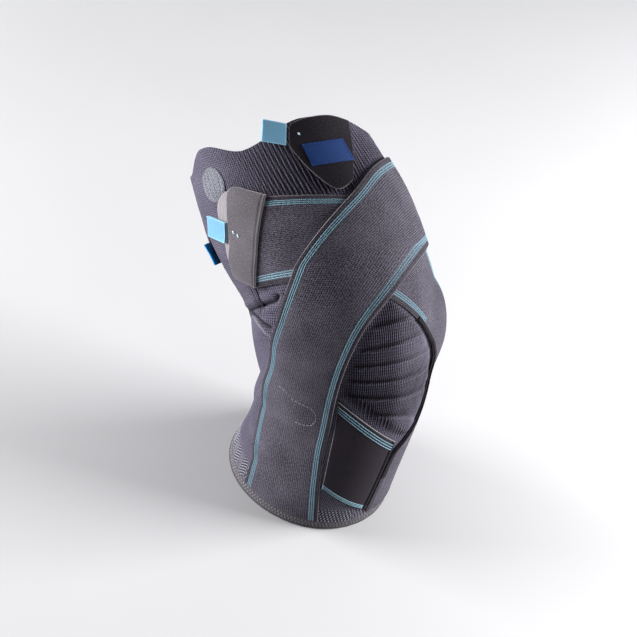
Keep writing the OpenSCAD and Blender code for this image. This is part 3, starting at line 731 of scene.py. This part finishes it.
def bottom_knots(turn, height, lift):
    """Rows of knots set like bricks, a rolled bead under them, painted shade between the knots, and nothing
    on the inner face.
    """
    outer = smooth((lift + 1.2) / 1.2)
    knots = np.clip(bricks(turn, height, 2.9, 2.5), 0, 1) * smooth((height - 1.6) / 0.8)
    bead = 0.5 * bell(height - 0.9, 0.9)
    groove = bell(height - 2.0, 0.45)
    return outer * (0.35 * knots + bead - 0.25 * groove), outer * np.clip(0.75 * (1 - knots), 0, 1)


def top_ribs(turn, height, lift):
    """The thigh's ribs and their painted shade carried on to the edge, fading towards the inner face."""
    wide = (turn + 180) % 360 - 180
    raised, shade_and_yarn_tone = thigh_ribs(wide, height)
    outer = smooth((lift + 1.2) / 1.2)
    return outer * raised * 0.7, outer * shade_and_yarn_tone


hem_turns = np.arange(0, 360, 0.45)
bottom_profile = rounded_profile(0.0, 8.4, -3.0, 0.4, 30)
bottom_hem = hem_ring("bottom_hem_knit", hem_turns, bottom_profile, np.zeros_like,
                      bottom_knots, hem_knit)
rides(bottom_hem, "shin", "hem", "bottom_hem")
top_profile = rounded_profile(-7.0, 0.0, -2.9, 0.15, 13)
top_hem = hem_ring("top_hem_knit", sleeve_turns, top_profile, top_edge, top_ribs, knit)
rides(top_hem, "thigh", "hem", "top_hem")
print("hem faces:", len(bottom_hem.data.polygons), len(top_hem.data.polygons))

# %% Patterned border
border_row = 2.7


def border_pattern(turn, height, lift):
    """Raised yarn that fades upwards: dots set like bricks, and chevrons at the outer back."""
    outer = smooth((lift + 0.4) / 0.4)
    fade = smooth((27 - height) / 7)
    dot = bricks(turn, height, 3.0, border_row)
    point = np.abs((turn / 13 + 0.3) % 1 - 0.5) * 2
    chevron = np.cos(2 * np.pi * (height / border_row - 2.0 * point))
    back = smooth((turn - 84) / 3) * smooth((132 - turn) / 3)
    yarn = smooth(dot * (1 - back) + chevron * back)
    # The colour is darker between the raised yarn and paler on the yarn.
    highlight_and_pale_yarn = yarn * (1 - 0.4 * back)
    return outer * fade * 0.3 * yarn, outer * fade * 0.75 * (1 - yarn), outer * fade * highlight_and_pale_yarn


border_knit = cloth_finish("border_knit", knit_dark, knit_light, (1.652, 0.6), (1.5, 0.35),
                           hollow=(0.012, 0.01, 0.016), edge=(0.3, 0.295, 0.34))
border_profile = rounded_profile(8.0, 28.0, -0.7, 0.06, 46)
bottom_border = hem_ring("bottom_border_knit", hem_turns, border_profile, np.zeros_like,
                         border_pattern, border_knit)
rides(bottom_border, "shin", "knit")
print("border faces:", len(bottom_border.data.polygons))

# %% [markdown]
# ## The two elastic straps
# Two broad straps of woven elastic run up beside the kneecap, cross above it and wrap round the thigh.
# Each could be a flat band bent with modifiers. Here each is the sheet between two listed edge lines
# on the leg, so its borders fall where the real ones do. It rises where it passes over a side stay or
# over the other strap, and its underside thickens at the back border, so that no gap shows under it from
# behind.

# %% Strap surfaces
lateral_front_edge = [(24, 9), (33, 45), (38, 80), (39, 105), (37, 124), (31, 141), (20, 157), (3, 169),
                      (-21, 181), (-45, 188), (-68, 192), (-95, 197), (-119, 201), (-143, 205), (-167, 209),
                      (-192, 212)]
lateral_back_edge = [(82.5, 9), (86.5, 40), (90, 80), (88.5, 108), (80.5, 133), (73.5, 155), (57, 181),
                     (28, 211), (2, 233), (-22, 250), (-55, 257), (-95, 254), (-119, 252), (-143, 251),
                     (-167, 250), (-192, 250)]
medial_front_edge = [(-11, 14), (-11.5, 45), (-13.5, 82), (-34, 100), (-45, 122), (-40, 138), (-25, 153),
                     (-4, 167), (20, 178), (48, 183), (84, 183)]
medial_back_edge = [(-80, 9), (-88, 40), (-97, 80), (-99, 108), (-93, 133), (-82, 155), (-60, 181),
                    (-28, 209), (-2, 228), (20, 235), (52, 242)]
strap_thickness = 1.4


def strap_lift(turn, height):
    """How far a strap rises over a stay: drawn tight, it stands off like a tent round the pivot."""
    away = np.linalg.norm(from_pivot(turn, height), axis=-1)
    return np.maximum(stay_lift(turn, height), over_pivot * (1 - smooth((away - pivot_flat) / 58)))


def seated(rise, place, x, lift):
    """The rise of a strap whose underside thickens at the back border, down to the knit or a pocket."""
    turn, height = np.moveaxis(place, -1, 0)
    pocket = over_pocket * (1 - smooth((bar_distance(from_pivot(turn, height)) - 8.5) / 5))
    under = np.maximum(hinge_cover(turn, height), pocket) + 0.15
    share = smooth((x - 0.8) / 0.2) * np.clip(1 - lift / strap_thickness, 0, 1)
    return rise + share * np.minimum(under - rise, 0)


def lateral_surface(x, y, lift):
    """The outer strap: x from its front to its back edge, y from the hem to the back of the thigh."""
    place = mix(curve(lateral_front_edge, y), curve(lateral_back_edge, y), x)
    pair = y * (len(lateral_front_edge) - 1)
    over = (strap_thickness + layer_gap) * smooth(pair - 5) * (1 - smooth(pair - 9.7))
    rise = seated(strap_lift(*np.moveaxis(place, -1, 0)), place, x, lift)
    return on_leg(place, layer_gap + over + rise + lift)


def medial_surface(x, y, lift):
    """The inner strap: x from its front to its back edge, y from the hem to the outer thigh."""
    place = mix(curve(medial_front_edge, y), curve(medial_back_edge, y), x)
    rise = seated(stay_rise(place), place, x, lift)
    return on_leg(place, layer_gap + rise + lift)


# %% Straps
lateral_size = (66, 520)
medial_size = (70, 380)
stitch_inset = 5.6


def strap_relief(width):
    """A shallow trough along each row of stitches, where the thread draws the webbing in."""
    return lambda x, y: -0.3 * bell(np.minimum(x, 1 - x) * width - stitch_inset, 2.4)


def selvedge(width):
    """The border outside the stitches is woven tighter and looks darker."""
    return lambda x, y: 0.45 * smooth((4.2 - np.minimum(x, 1 - x) * width) / 1.2)


lateral_strap = sheet_piece("lateral_strap_webbing", lateral_surface, lateral_size, (46, 340),
                            strap_thickness, webbing, relief=strap_relief(lateral_size[0]),
                            hollow=selvedge(lateral_size[0]))
medial_strap = sheet_piece("medial_strap_webbing", medial_surface, medial_size, (46, 260), strap_thickness,
                           webbing, relief=strap_relief(medial_size[0]), hollow=selvedge(medial_size[0]))
bends(lateral_strap, "strap", "lateral_strap")
bends(medial_strap, "strap", "medial_strap")

# %% [markdown]
# ## Stitching
# Each border is sewn with a three-needle cover stitch: three light blue lines with a thread that zigzags
# between them. A texture could draw the lines, but real thread stands up and throws a small shadow, so
# each thread is a thin tube carried along the border, pulled down at every needle hole. The outer strap
# also has a line of dashes, part of a sewn box, and the inner strap's front edge is bound with a narrow
# black tape.

# %% Thread tubes
thread_sides = 6


def tube(path, normal, radius):
    """Points, faces and UVs of a thread: a six-sided ring of the radius, carried along the path."""
    ahead = np.gradient(path, axis=0)
    ahead = ahead / np.linalg.norm(ahead, axis=1, keepdims=True)
    side = np.cross(normal, ahead)
    side = side / np.linalg.norm(side, axis=1, keepdims=True)
    up = np.cross(ahead, side)
    angle = np.arange(thread_sides) * 2 * np.pi / thread_sides
    spoke = np.cos(angle)[None, :, None] * side[:, None] + np.sin(angle)[None, :, None] * up[:, None]
    points = path[:, None] + spoke * np.reshape(radius, (-1, 1, 1)) * 0.001
    index = np.arange(len(path) * thread_sides).reshape(len(path), thread_sides)
    cap = np.array([[0, 1, 2, 3], [0, 3, 4, 5]])
    faces = np.concatenate([quads(index, ring=True), cap[:, ::-1], index[-1, 0] + cap])
    run = np.concatenate([[0], np.cumsum(np.linalg.norm(np.diff(path, axis=0), axis=1))]) * 1000
    spots = np.stack(np.broadcast_arrays(np.arange(thread_sides + 1) * 0.3, run[:, None]), -1)
    uv = np.concatenate([corner_values(spots), np.zeros((4, 4, 2))])
    return points.reshape(-1, 3), faces, uv


def join_tubes(name, tubes, finish):
    """Several threads as one piece: their points in a row, with each thread's face numbers moved on."""
    starts = np.cumsum([0] + [len(t[0]) for t in tubes[:-1]])
    faces = np.concatenate([t[1] + start for t, start in zip(tubes, starts)])
    return add_piece(name, np.concatenate([t[0] for t in tubes]), faces, finish,
                     np.concatenate([t[2] for t in tubes]))


def thread_on(surface, x, y, lift, radius):
    """A thread that lies on a surface along the places x and y."""
    path = surface(x, y, lift)
    normal = surface(x, y, lift + 1) - path
    return tube(path, normal / np.linalg.norm(normal, axis=1, keepdims=True), radius)


line_gap = 1.6
stitch_length = 2.6


def cover_stitch(surface, size, top, inset, far=False, across=False, start=0.0, end=1.0):
    """Three lines and two zigzags, inset from the near or far side: y runs along them, or x if across."""
    length = size[0] if across else size[1]
    width = size[1] if across else size[0]
    along = np.linspace(start, end, int(length * (end - start) / 0.75))
    run = along * length / stitch_length
    arch = np.abs(np.sin(np.pi * run))
    swing = 2 * np.abs(2 * (run % 1) - 1) - 1

    def lay(offset, lift, radius):
        share = (inset + offset) / width
        share = 1 - share if far else share
        share = np.broadcast_to(share, along.shape)
        x, y = (along, share) if across else (share, along)
        return thread_on(surface, x, y, lift, radius)

    lines = [lay(gap, top + 0.16 * arch, 0.27 + 0.09 * arch) for gap in (-line_gap, 0.0, line_gap)]
    low = np.full(along.shape, top - 0.05)
    thin = np.full(along.shape, 0.13)
    zigzags = [lay(gap + swing * line_gap * 0.45, low, thin) for gap in (-line_gap / 2, line_gap / 2)]
    return lines + zigzags


# %% Strap stitching
thread_level = strap_thickness - 0.25
lateral_rows = [join_tubes(f"lateral_stitching_{name}",
                           cover_stitch(lateral_surface, lateral_size, thread_level, stitch_inset, far,
                                        start=0.004, end=0.996), thread)
                for name, far in (("front", False), ("back", True))]
medial_rows = [join_tubes(f"medial_stitching_{name}",
                          cover_stitch(medial_surface, medial_size, thread_level, stitch_inset, far,
                                       start=start, end=0.985), thread)
               for name, far, start in (("front", False, 0.6), ("back", True, 0.004))]
for rows in lateral_rows + medial_rows:
    bends(rows, "strap")
print("strap stitching faces:", [len(rows.data.polygons) for rows in lateral_rows + medial_rows])


# %% Stitched box and binding
def dashes(places, lift, radius=0.2, dash=1.6, gap=1.2):
    """Short stitches along a smooth line of places on the outer strap, each a tube that dips at both ends."""
    spots = curve(places, np.linspace(0, 1, 500))
    points = leg_point(spots[:, 0], spots[:, 1]) * 1000
    run = np.concatenate([[0], np.cumsum(np.linalg.norm(np.diff(points, axis=0), axis=1))])
    made = []
    for start in np.arange(0, run[-1] - dash, dash + gap):
        share = np.linspace(0, 1, 7)
        turn = np.interp(start + dash * share, run, spots[:, 0])
        height = np.interp(start + dash * share, run, spots[:, 1])
        level = lift + strap_lift(turn, height) + 0.25 * np.sin(np.pi * share)
        path = leg_point(turn, height, level)
        normal = (leg_point(turn, height, level + 1) - path) * 1000
        made.append(tube(path, normal, np.full(7, radius)))
    return made


box_places = [(72, 120), (68, 118.5), (63, 114.7), (52, 112.7), (48.5, 108), (50, 102.3), (54, 99.8),
              (62, 98.5)]
box_stitching = join_tubes("box_stitching", dashes(box_places, layer_gap + strap_thickness), pale_thread)


def binding_surface(x, y, lift):
    """A narrow tape over the inner strap's front edge, beside the kneecap."""
    return medial_surface(0.05 * x - 0.014, 0.13 + 0.5 * y, strap_thickness + 0.1 + lift)


inner_binding = sheet_piece("inner_edge_binding", binding_surface, (3.6, 190), (8, 160), 0.7, black_binding,
                            rim_highlight_width=0)
for piece in (box_stitching, inner_binding):
    bends(piece, "strap")

# %% [markdown]
# ## Shin panel
# Below the kneecap a smooth dark panel fills the space between the straps. It is sewn at its top and
# bottom with the same stitch, and a double seam closes its inner border. The seam is in the sheet itself,
# as two low welts.

# %% Shin panel
panel_size = (52, 76)
panel_groove_at = 3.4


def panel_surface(x, y, lift):
    """A four-sided sheet: straight inner border, outer border along the strap, ends sloping up outwards."""
    inner = np.stack([-7.5 - 3 * y, 19 + 75 * y], -1)
    outer = np.stack([32 + 6.3 * y - 1.5 * y**4, 46 + 73 * y], -1)
    place = mix(inner, outer, x)
    return on_leg(place, layer_gap + lift)


def panel_seam(x, y):
    """Two welts beside the inner border, with a groove between them."""
    away = x * panel_size[0]
    return 0.5 * bell(away - 1.6, 1.0) - 0.6 * bell(away - panel_groove_at, 0.6)


def panel_groove(x, y):
    """Painted shade in the groove of the seam."""
    return 0.9 * bell(x * panel_size[0] - panel_groove_at, 0.7)


shin_panel = sheet_piece("shin_panel_cloth", panel_surface, panel_size, (60, 60), strap_thickness,
                         panel_cloth, relief=panel_seam, hollow=panel_groove, rim_highlight_width=0.4)
panel_rows = cover_stitch(panel_surface, panel_size, strap_thickness, 4.2, False, True, 0.09, 0.99)
panel_rows += cover_stitch(panel_surface, panel_size, strap_thickness, 4.2, True, True, 0.03, 0.99)
panel_stitching = join_tubes("panel_stitching", panel_rows, thread)
rides(shin_panel, "shin", "strap", "shin_panel")
rides(panel_stitching, "shin", "strap")

# %% [markdown]
# ## The outer tab
# The inner strap ends on the outer thigh in a grey tab of brushed loop cloth. Its sewn border is folded
# over, its free corners are round, and a pale crescent of hook tape shows past it. A tab could be cut out
# with a boolean. Here the free edge is simply drawn in beside each corner by a circle, so that the grid
# stays whole.

# %% Outer tab
tab_thickness = 1.5
hook_thickness = 1.1
tab_lift = strap_thickness + 2 * layer_gap
hook_lift = 1.05
snug_gap = 0.25
lateral_tab_size = (27, 70)
tab_trough_at = 2.6


def rounded_end(away, radius):
    """How far an edge is drawn in near an end: the radius less the height of a circle that far along."""
    share = np.clip(1 - away / radius, 0, 1)
    return radius * (1 - np.sqrt(1 - share**2))


def lateral_tab_surface(x, y, lift):
    """From the sewn border to the free edge, which is drawn in at both round corners."""
    root = mix((77, 182.5), (46.5, 242), y)
    free = curve([(90, 192), (84, 209), (77.5, 225), (72.8, 239), (67, 256)], y)
    width, length = lateral_tab_size
    drawn = (rounded_end(y * length, 5) + rounded_end((1 - y) * length, 11)) / width
    place = mix(root, free, x * (1 - drawn))
    return on_leg(place, tab_lift + stay_rise(place) + lift)


def folded_border(x, y):
    """A welt along the sewn border with a trough beside it, and a soft wave over the rest."""
    away = x * lateral_tab_size[0]
    welt = 0.2 * bell(away - 1.0, 0.9) - 0.3 * bell(away - tab_trough_at, 0.6)
    return welt + 0.15 * np.sin(5 * x + 9 * y) * np.sin(7 * y)


def border_groove(x, y):
    """Painted shade in the trough beside the welt."""
    return 0.55 * bell(x * lateral_tab_size[0] - tab_trough_at, 0.6)


def lateral_hook_surface(x, y, lift):
    """A crescent: straight under the tab, bowed outwards past its free edge."""
    near = mix((82, 197), (57.5, 247), y)
    far = curve([(88, 202), (86, 217), (83.5, 234), (79, 245), (71, 251)], y)
    place = mix(near, far, x)
    return on_leg(place, hook_lift + stay_rise(place) + lift)


lateral_tab = sheet_piece("lateral_tab_cloth", lateral_tab_surface, lateral_tab_size, (44, 90), tab_thickness,
                          loop_cloth, relief=folded_border, hollow=border_groove)
lateral_hook = sheet_piece("lateral_hook_tape", lateral_hook_surface, (18, 68), (24, 80), hook_thickness,
                           pale_hook, rim_highlight_width=0)
rides(lateral_tab, "lateral_tab", "tab", "lateral_tab")
rides(lateral_hook, "lateral_tab", "pale_hook", "lateral_hook")

# %% [markdown]
# ## Rear and front tabs
# The outer strap wraps round the thigh to a tab at the back, and a third, nearly black tab closes at the
# front. The front one is leaf-shaped: it is the sheet between two curved sides that come together in a
# short free end. The rear one is a plain band with a slanted end. Each has its hook tape beneath it.

# %% Rear tab
rear_tab_size = (52, 40)


def rear_tab_surface(x, y, lift):
    """A tab round the back of the thigh, with a slanted free end and round corners."""
    width, length = rear_tab_size
    drawn = (rounded_end(y * length, 5) + rounded_end((1 - y) * length, 9)) / width
    return leg_point(173 - (44 - 9 * y) * x * (1 - drawn), 212 + 40 * y, tab_lift + lift)


def rear_hook_surface(x, y, lift):
    """The hook tape inside the rear tab's outline."""
    return leg_point(164 - 31 * x, 214 + 36 * y, hook_lift + lift)


rear_tab = sheet_piece("rear_tab_cloth", rear_tab_surface, rear_tab_size, (60, 44), tab_thickness,
                       dark_loop_cloth)
rear_hook = sheet_piece("rear_hook_tape", rear_hook_surface, (39, 36), (36, 30), hook_thickness, pale_hook,
                        rim_highlight_width=0)
rides(rear_tab, "rear_tab", "dark_tab", "rear_tab")
rides(rear_hook, "rear_tab", "pale_hook", "rear_hook")

# %% Front tab
front_lift = 2.55
front_tab_size = (42, 46)
front_lower_side = [(-1, 241), (10, 236.5), (19, 252), (24.5, 272)]
front_upper_side = [(-22, 284), (-8, 289), (8, 289), (19, 286)]


def front_place(x, y):
    """A place between the two curved sides: x from the sewn end to the free end, y from the lower side up."""
    return mix(curve(front_lower_side, x), curve(front_upper_side, x), y)


def front_tab_surface(x, y, lift):
    """The leaf, drawn in at the two corners of its short free end."""
    end_width = 15
    drawn = (rounded_end(y * end_width, 4) + rounded_end((1 - y) * end_width, 4)) / front_tab_size[0]
    place = front_place(x * (1 - drawn), y)
    return on_leg(place, front_lift + lift)


def front_hook_surface(x, y, lift):
    """The hook tape, inside the leaf's outline."""
    place = front_place(0.3 + 0.67 * x, 0.06 + 0.88 * y)
    return on_leg(place, front_lift - snug_gap - hook_thickness + lift)


front_tab = sheet_piece("front_tab_cloth", front_tab_surface, front_tab_size, (56, 60), tab_thickness,
                        dark_loop_cloth, rim_highlight_width=0.6,
                        relief=lambda x, y: 0.25 * np.sin(6 * x + 2 * y) * np.sin(5 * y))
front_hook = sheet_piece("front_hook_tape", front_hook_surface, (28, 36), (24, 30), hook_thickness, dark_hook,
                         rim_highlight_width=0)
rides(front_tab, "front_tab", "dark_tab", "front_tab")
rides(front_hook, "front_tab", "dark_hook", "front_hook")

# %% [markdown]
# ## Pull ribbons
# Each tab is peeled by a blue ribbon that is folded into a flat loop. A loop is a strip that runs out,
# turns round a small half circle and comes back, so the sheet's length is measured along that path.


# %% Pull ribbons
def laid(anchor, heading, along, across):
    """A place on the leg so many millimetres along and across a line that leaves the anchor at a heading."""
    way = math.radians(heading)
    side = along * math.cos(way) - across * math.sin(way)
    up = along * math.sin(way) + across * math.cos(way)
    half_width = section(np.array(float(anchor[1])))[2]
    return np.stack([anchor[0] + np.degrees(side / half_width), anchor[1] + up], -1)


pull_width = 16
pull_length = 15
ribbon_thickness = 0.45
loop_radius = 0.75
straight_run = pull_length - loop_radius - ribbon_thickness
ribbon_length = 2 * straight_run + math.pi * loop_radius


def pull_surface(anchor, heading, low, way=1, stand=3.0, on_stay=False):
    """The ribbon's path: out at a low level, round a half circle, and back above, rising to the loose end."""

    def surface(x, y, lift):
        run = y * ribbon_length
        bend = np.clip((run - straight_run) / loop_radius, 0, np.pi)
        out = np.minimum(run, straight_run) - np.maximum(run - straight_run - np.pi * loop_radius, 0)
        past = lift - ribbon_thickness / 2
        along = 0.4 + out + (loop_radius + past) * np.sin(bend)
        level = loop_radius - (loop_radius + past) * np.cos(bend)
        place = laid(anchor, heading, way * along, (x - 0.5) * pull_width)
        rise = stand * np.clip(along / pull_length, 0, 1) ** 1.3 - 0.5 * np.sin(np.pi * x)
        stay = stay_rise(place) if on_stay else 0.0
        return on_leg(place, low + 0.3 + level + rise + stay)

    return surface


def pull(body, anchor, heading, low, finish, slot, **how):
    """One folded ribbon on its tab."""
    made = sheet_piece(f"{body.split('_')[0]}_pull_ribbon", pull_surface(anchor, heading, low, **how),
                       (pull_width, ribbon_length), (26, 70), ribbon_thickness, finish)
    rides(made, body, slot, body.replace("_tab", "_pull"))
    return made


lateral_pull = pull("lateral_tab", (80.3, 223), 33, tab_lift + snug_gap, pull_ribbon, "pull", on_stay=True)
rear_pull = pull("rear_tab", (136.5, 215.5), 8, tab_lift + snug_gap, deep_ribbon, "deep_blue",
                 way=-1, stand=2)
front_pull = pull("front_tab", (22.7, 279.5), 23, front_lift, pull_ribbon, "pull")

# %% [markdown]
# ## Label, tacks and grip patch
# A small plain blue patch is sewn to the front tab, and short bars of pale thread tack the tabs' layers
# together. On the outer thigh an oval of rubbery yarn is knitted in. The patch and the oval are thin
# sheets, and the stitching is thread again, so that it stands up as the rest does.

# %% Label
label_size = (30, 16)


def label_surface(x, y, lift):
    """A flat patch on the front tab."""
    place = laid((4.6, 263), 0, (x - 0.5) * label_size[0], (y - 0.5) * label_size[1])
    return on_leg(place, front_lift + tab_thickness + snug_gap + lift)


def label_dip(x, y):
    """The border is drawn down where the thread runs round it."""
    inward = np.minimum(np.minimum(x, 1 - x) * label_size[0], np.minimum(y, 1 - y) * label_size[1])
    return -0.2 * smooth((1.9 - inward) / 0.6)


front_label = sheet_piece("front_label_patch", label_surface, label_size, (40, 24), 0.6, label_weave,
                          relief=label_dip)
rides(front_label, "front_tab", "label", "front_label")
border = np.linspace(0, 1, 160)
corners = np.array([0, 0.326, 0.5, 0.826, 1])
label_x = np.interp(border, corners, [0.045, 0.955, 0.955, 0.045, 0.045])
label_y = np.interp(border, corners, [0.085, 0.085, 0.915, 0.915, 0.085])
label_stitch = 2.2
hop = np.abs(np.sin(np.pi * border * 2 * sum(label_size) / label_stitch))
label_thread = thread_on(label_surface, label_x, label_y, 0.42 + 0.22 * hop, 0.12 + 0.14 * hop)

# %% Tacks
tack_steps = 90
tack_swings = 11
tack_length = 1.7
tack_width = 1.5


def bar_tack(surface, size, place, heading):
    """A bar of thread: a zigzag of the width that runs along a short line at a heading."""
    along = np.linspace(-0.5, 0.5, tack_steps) * tack_length
    swing = (np.abs((np.linspace(0, tack_swings, tack_steps) % 1) * 2 - 1) - 0.5) * tack_width
    way = math.radians(heading)
    x = place[0] + (along * math.cos(way) - swing * math.sin(way)) / size[0]
    y = place[1] + (along * math.sin(way) + swing * math.cos(way)) / size[1]
    top = np.full(tack_steps, tab_thickness + 0.2)
    return thread_on(surface, x, y, top, np.full(tack_steps, 0.28))


lateral_bars = [bar_tack(lateral_tab_surface, lateral_tab_size, place, 60)
                for place in ((0.78, 0.5), (0.62, 0.48))]
lateral_tacks = join_tubes("lateral_tab_tacks", lateral_bars, tack_thread)
front_bar = bar_tack(front_tab_surface, front_tab_size, (0.8, 0.66), 80)
front_tacks = join_tubes("front_tab_tacks", [front_bar], tack_thread)
label_stitching = join_tubes("label_stitching", [label_thread], label_weave)
rides(lateral_tacks, "lateral_tab", "tab")
rides(front_tacks, "front_tab", "dark_tab")
rides(label_stitching, "front_tab", "label")
print("tack faces:", len(lateral_tacks.data.polygons), len(front_tacks.data.polygons))

# %% Grip patch
patch_size = (24, 25)


def grip_surface(x, y, lift):
    """An oval: each row is as wide as an ellipse is there."""
    wide = np.sqrt(1.002 - (2 * y - 1) ** 2)
    place = laid((80.5, 258), -12, (x - 0.5) * patch_size[0] * wide, (y - 0.5) * patch_size[1])
    return on_leg(place, 0.2 + lift)


grip_patch = sheet_piece("grip_patch_yarn", grip_surface, patch_size, (44, 70), 0.6, grip_yarn, rim_highlight_width=0,
                         relief=lambda x, y: 0.25 * np.sin(2 * np.pi * x * 8) * np.sin(2 * np.pi * y * 12))
rides(grip_patch, "thigh", "grip_yarn", "grip_patch")

# %% [markdown]
# ## Stay pockets and the grip band
# The parts that do the work are mostly out of sight: knit channels that hold the steel stays on each
# side, and a ridged silicone band inside the top edge. They are still modelled, because they show when
# the brace is turned over. A pocket is a sheet that arches over its stay, and the band is a ring like the
# hems.

# %% Pockets
pocket_places = {
    "lateral_lower": [[(78.4, 56.4), (90, 56.4), (105.2, 56.4)],
                      [(77.1, 106.0), (88.8, 107.8), (102.0, 110.2)]],
    "lateral_upper": [[(80.8, 161.9), (91.5, 158.7), (102.9, 154.6)],
                      [(84.3, 202.4), (94.9, 202.4), (105.8, 202.5)]],
    "medial_lower": [[(-105.2, 71.7), (-90, 71.7), (-78.4, 71.7)],
                     [(-97.6, 126.5), (-85.8, 122.4), (-74.1, 119.2)]],
    "medial_upper": [[(-94.8, 168.2), (-83.9, 170.6), (-73.0, 172.5)],
                     [(-96.2, 212.3), (-85.7, 212.3), (-75.1, 212.2)]]}
pocket_size = (25, 50)
pocket_rise = 2.09


def pocket_place(ends, x, y):
    """A place between two rows of three places, each row a parabola."""
    near, middle, far = (w[..., None] for w in (2 * (x - 0.5) * (x - 1), 4 * x * (1 - x), 2 * x * (x - 0.5)))
    row = [near * r[0] + middle * r[1] + far * r[2] for r in np.array(ends, float)]
    return mix(row[0], row[1], y)


def pocket_piece(name, ends):
    """A sheet that arches over the bar in it and carries the folds of the knit round it, with their painted
    shade.
    """

    def surface(x, y, lift):
        place = pocket_place(ends, x, y)
        arch = layer_gap + pocket_rise * (1 - smooth((np.abs(x - 0.5) - 0.31) / 0.19))
        return on_leg(place, arch + lift)

    def folds(x, y):
        raised, shade_and_yarn_tone = hollow_knee_folds(*np.moveaxis(pocket_place(ends, x, y), -1, 0))
        return np.clip(raised, -0.25, 2), shade_and_yarn_tone

    return sheet_piece(f"{name}_pocket_knit", surface, pocket_size, (46, 84), 0.6, knit, rim_highlight_width=0,
                       relief=lambda x, y: folds(x, y)[0], hollow=lambda x, y: folds(x, y)[1])


for name, ends in pocket_places.items():
    pocket = pocket_piece(name, ends)
    rides(pocket, "shin" if name.endswith("lower") else "thigh", "knit", f"{name}_pocket")


# %% Silicone band
def silicone_waves(turn, height, lift):
    """Wavy ridges on the inner face alone: a cosine of the height that swings as it goes round."""
    inner = smooth((-2.9 - lift) / 0.4)
    swing = (height - top_edge(turn)) / 3.6 + 0.3 * np.sin(np.radians(turn * 24))
    return -inner * 0.5 * wave(swing), np.zeros_like(turn)


silicone = cloth_finish("clear_silicone", (0.5, 0.53, 0.55), (0.62, 0.65, 0.67), (6, 0.3), (6, 0.3), fuzz=0.2,
                        relief=0.05, roughness=0.32, sheen=0.0)
band_profile = rounded_profile(-32.0, -12.0, -3.4, -2.5, 41)[::-1]
grip_band = hem_ring("silicone_grip_band_ridges", np.arange(0, 360, 1.0), band_profile, top_edge,
                     silicone_waves, silicone)
rides(grip_band, "thigh", "silicone", "silicone_grip_band")
print("silicone band faces:", len(grip_band.data.polygons))

# %% [markdown]
# ## Steel stays
# The bars, rivets and washers keep their solid shapes, which are right, and only get finishes. Brushed
# steel is a noise stretched upwards, which drives the colour, the gloss and a very small relief.


# %% Steel and washer finishes
def hard_finish(name, dark, light, stretch, metal, rough):
    """Fine streaks from a stretched noise on Object coordinates, in the colour, the gloss and the relief."""
    made = bpy.data.materials.new(name)
    made.use_nodes = True
    tree = made.node_tree
    shader = tree.nodes["Principled BSDF"]
    place = add_node(tree, "TexCoord", {}).outputs["Object"]
    mapped = add_node(tree, "Mapping", {"Vector": place, "Scale": stretch}).outputs[0]
    streak = add_node(tree, "TexNoise", {"Vector": mapped, "Scale": 1.0, "Detail": 5.0}).outputs[0]
    tree.links.new(mix_colour(tree, streak, paint(*dark), paint(*light)), shader.inputs["Base Color"])
    gloss = calc(tree, "MULTIPLY_ADD", streak, 0.2, rough)
    tree.links.new(gloss, shader.inputs["Roughness"])
    bump = add_node(tree, "Bump", {"Height": streak, "Distance": 0.00005, "Strength": 0.5})
    tree.links.new(bump.outputs[0], shader.inputs["Normal"])
    shader.inputs["Metallic"].default_value = metal
    return made


steel = hard_finish("brushed_steel", (0.42, 0.43, 0.45), (0.66, 0.67, 0.69), (900, 900, 40), 1.0, 0.28)
washer_plastic = hard_finish("washer_plastic", (0.015, 0.015, 0.016), (0.04, 0.04, 0.042),
                             (700, 700, 700), 0.0, 0.5)
hard_nodes = [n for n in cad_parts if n.endswith(("_stay", "_rivet", "_washer"))]
for node in hard_nodes:
    surface = bpy.data.objects[node]
    surface.data.materials.clear()
    surface.data.materials.append(washer_plastic if node.endswith("_washer") else steel)
print("solids kept:", sorted(hard_nodes))

# %% [markdown]
# ## Floor and light
# A wide pale floor and soft panels make a plain studio. One panel stands low at the outer side and one at
# the inner side, so that both flanks of the brace are bright and the front between them stays dark, as
# cloth does under two windows. The world adds a little light from everywhere.

# %% Floor
floor_half = 6.0
floor_mesh = bpy.data.meshes.new("floor")
floor_corners = [(x * floor_half, y * floor_half, 0) for x, y in ((-1, -1), (1, -1), (1, 1), (-1, 1))]
floor_mesh.from_pydata(floor_corners, [], [(0, 1, 2, 3)])
floor = bpy.data.objects.new("floor", floor_mesh)
bpy.context.scene.collection.objects.link(floor)
pale_floor = hard_finish("pale_floor", (0.44, 0.44, 0.45), (0.49, 0.49, 0.5), (3, 3, 3), 0.0, 0.7)
floor_mesh.materials.append(pale_floor)
print("floor is", 2 * floor_half, "m wide")


# %% Light
def soft_panel(name, place, aim, size, power):
    """A square area light that faces a point."""
    data = bpy.data.lights.new(name, "AREA")
    data.shape = "SQUARE"
    data.size = size
    data.energy = power
    made = bpy.data.objects.new(name, data)
    bpy.context.scene.collection.objects.link(made)
    made.location = place
    made.rotation_mode = "QUATERNION"
    made.rotation_quaternion = (Vector(aim) - Vector(place)).to_track_quat("-Z", "Y")


middle = (-0.04, -0.01, 0.14)
soft_panel("outer_panel", (-0.7, -1.12, 0.24), middle, 0.7, 60)
soft_panel("inner_panel", (0.45, 1.05, 0.5), middle, 0.7, 44)
soft_panel("top_panel", (-0.5, 0.1, 1.4), middle, 1.0, 3)
world = bpy.data.worlds.new("studio")
bpy.context.scene.world = world
world.use_nodes = True
world.node_tree.nodes["Background"].inputs["Color"].default_value = paint(0.95, 0.95, 1.0)
world.node_tree.nodes["Background"].inputs["Strength"].default_value = 0.28
bpy.context.scene.view_settings.view_transform = "Standard"
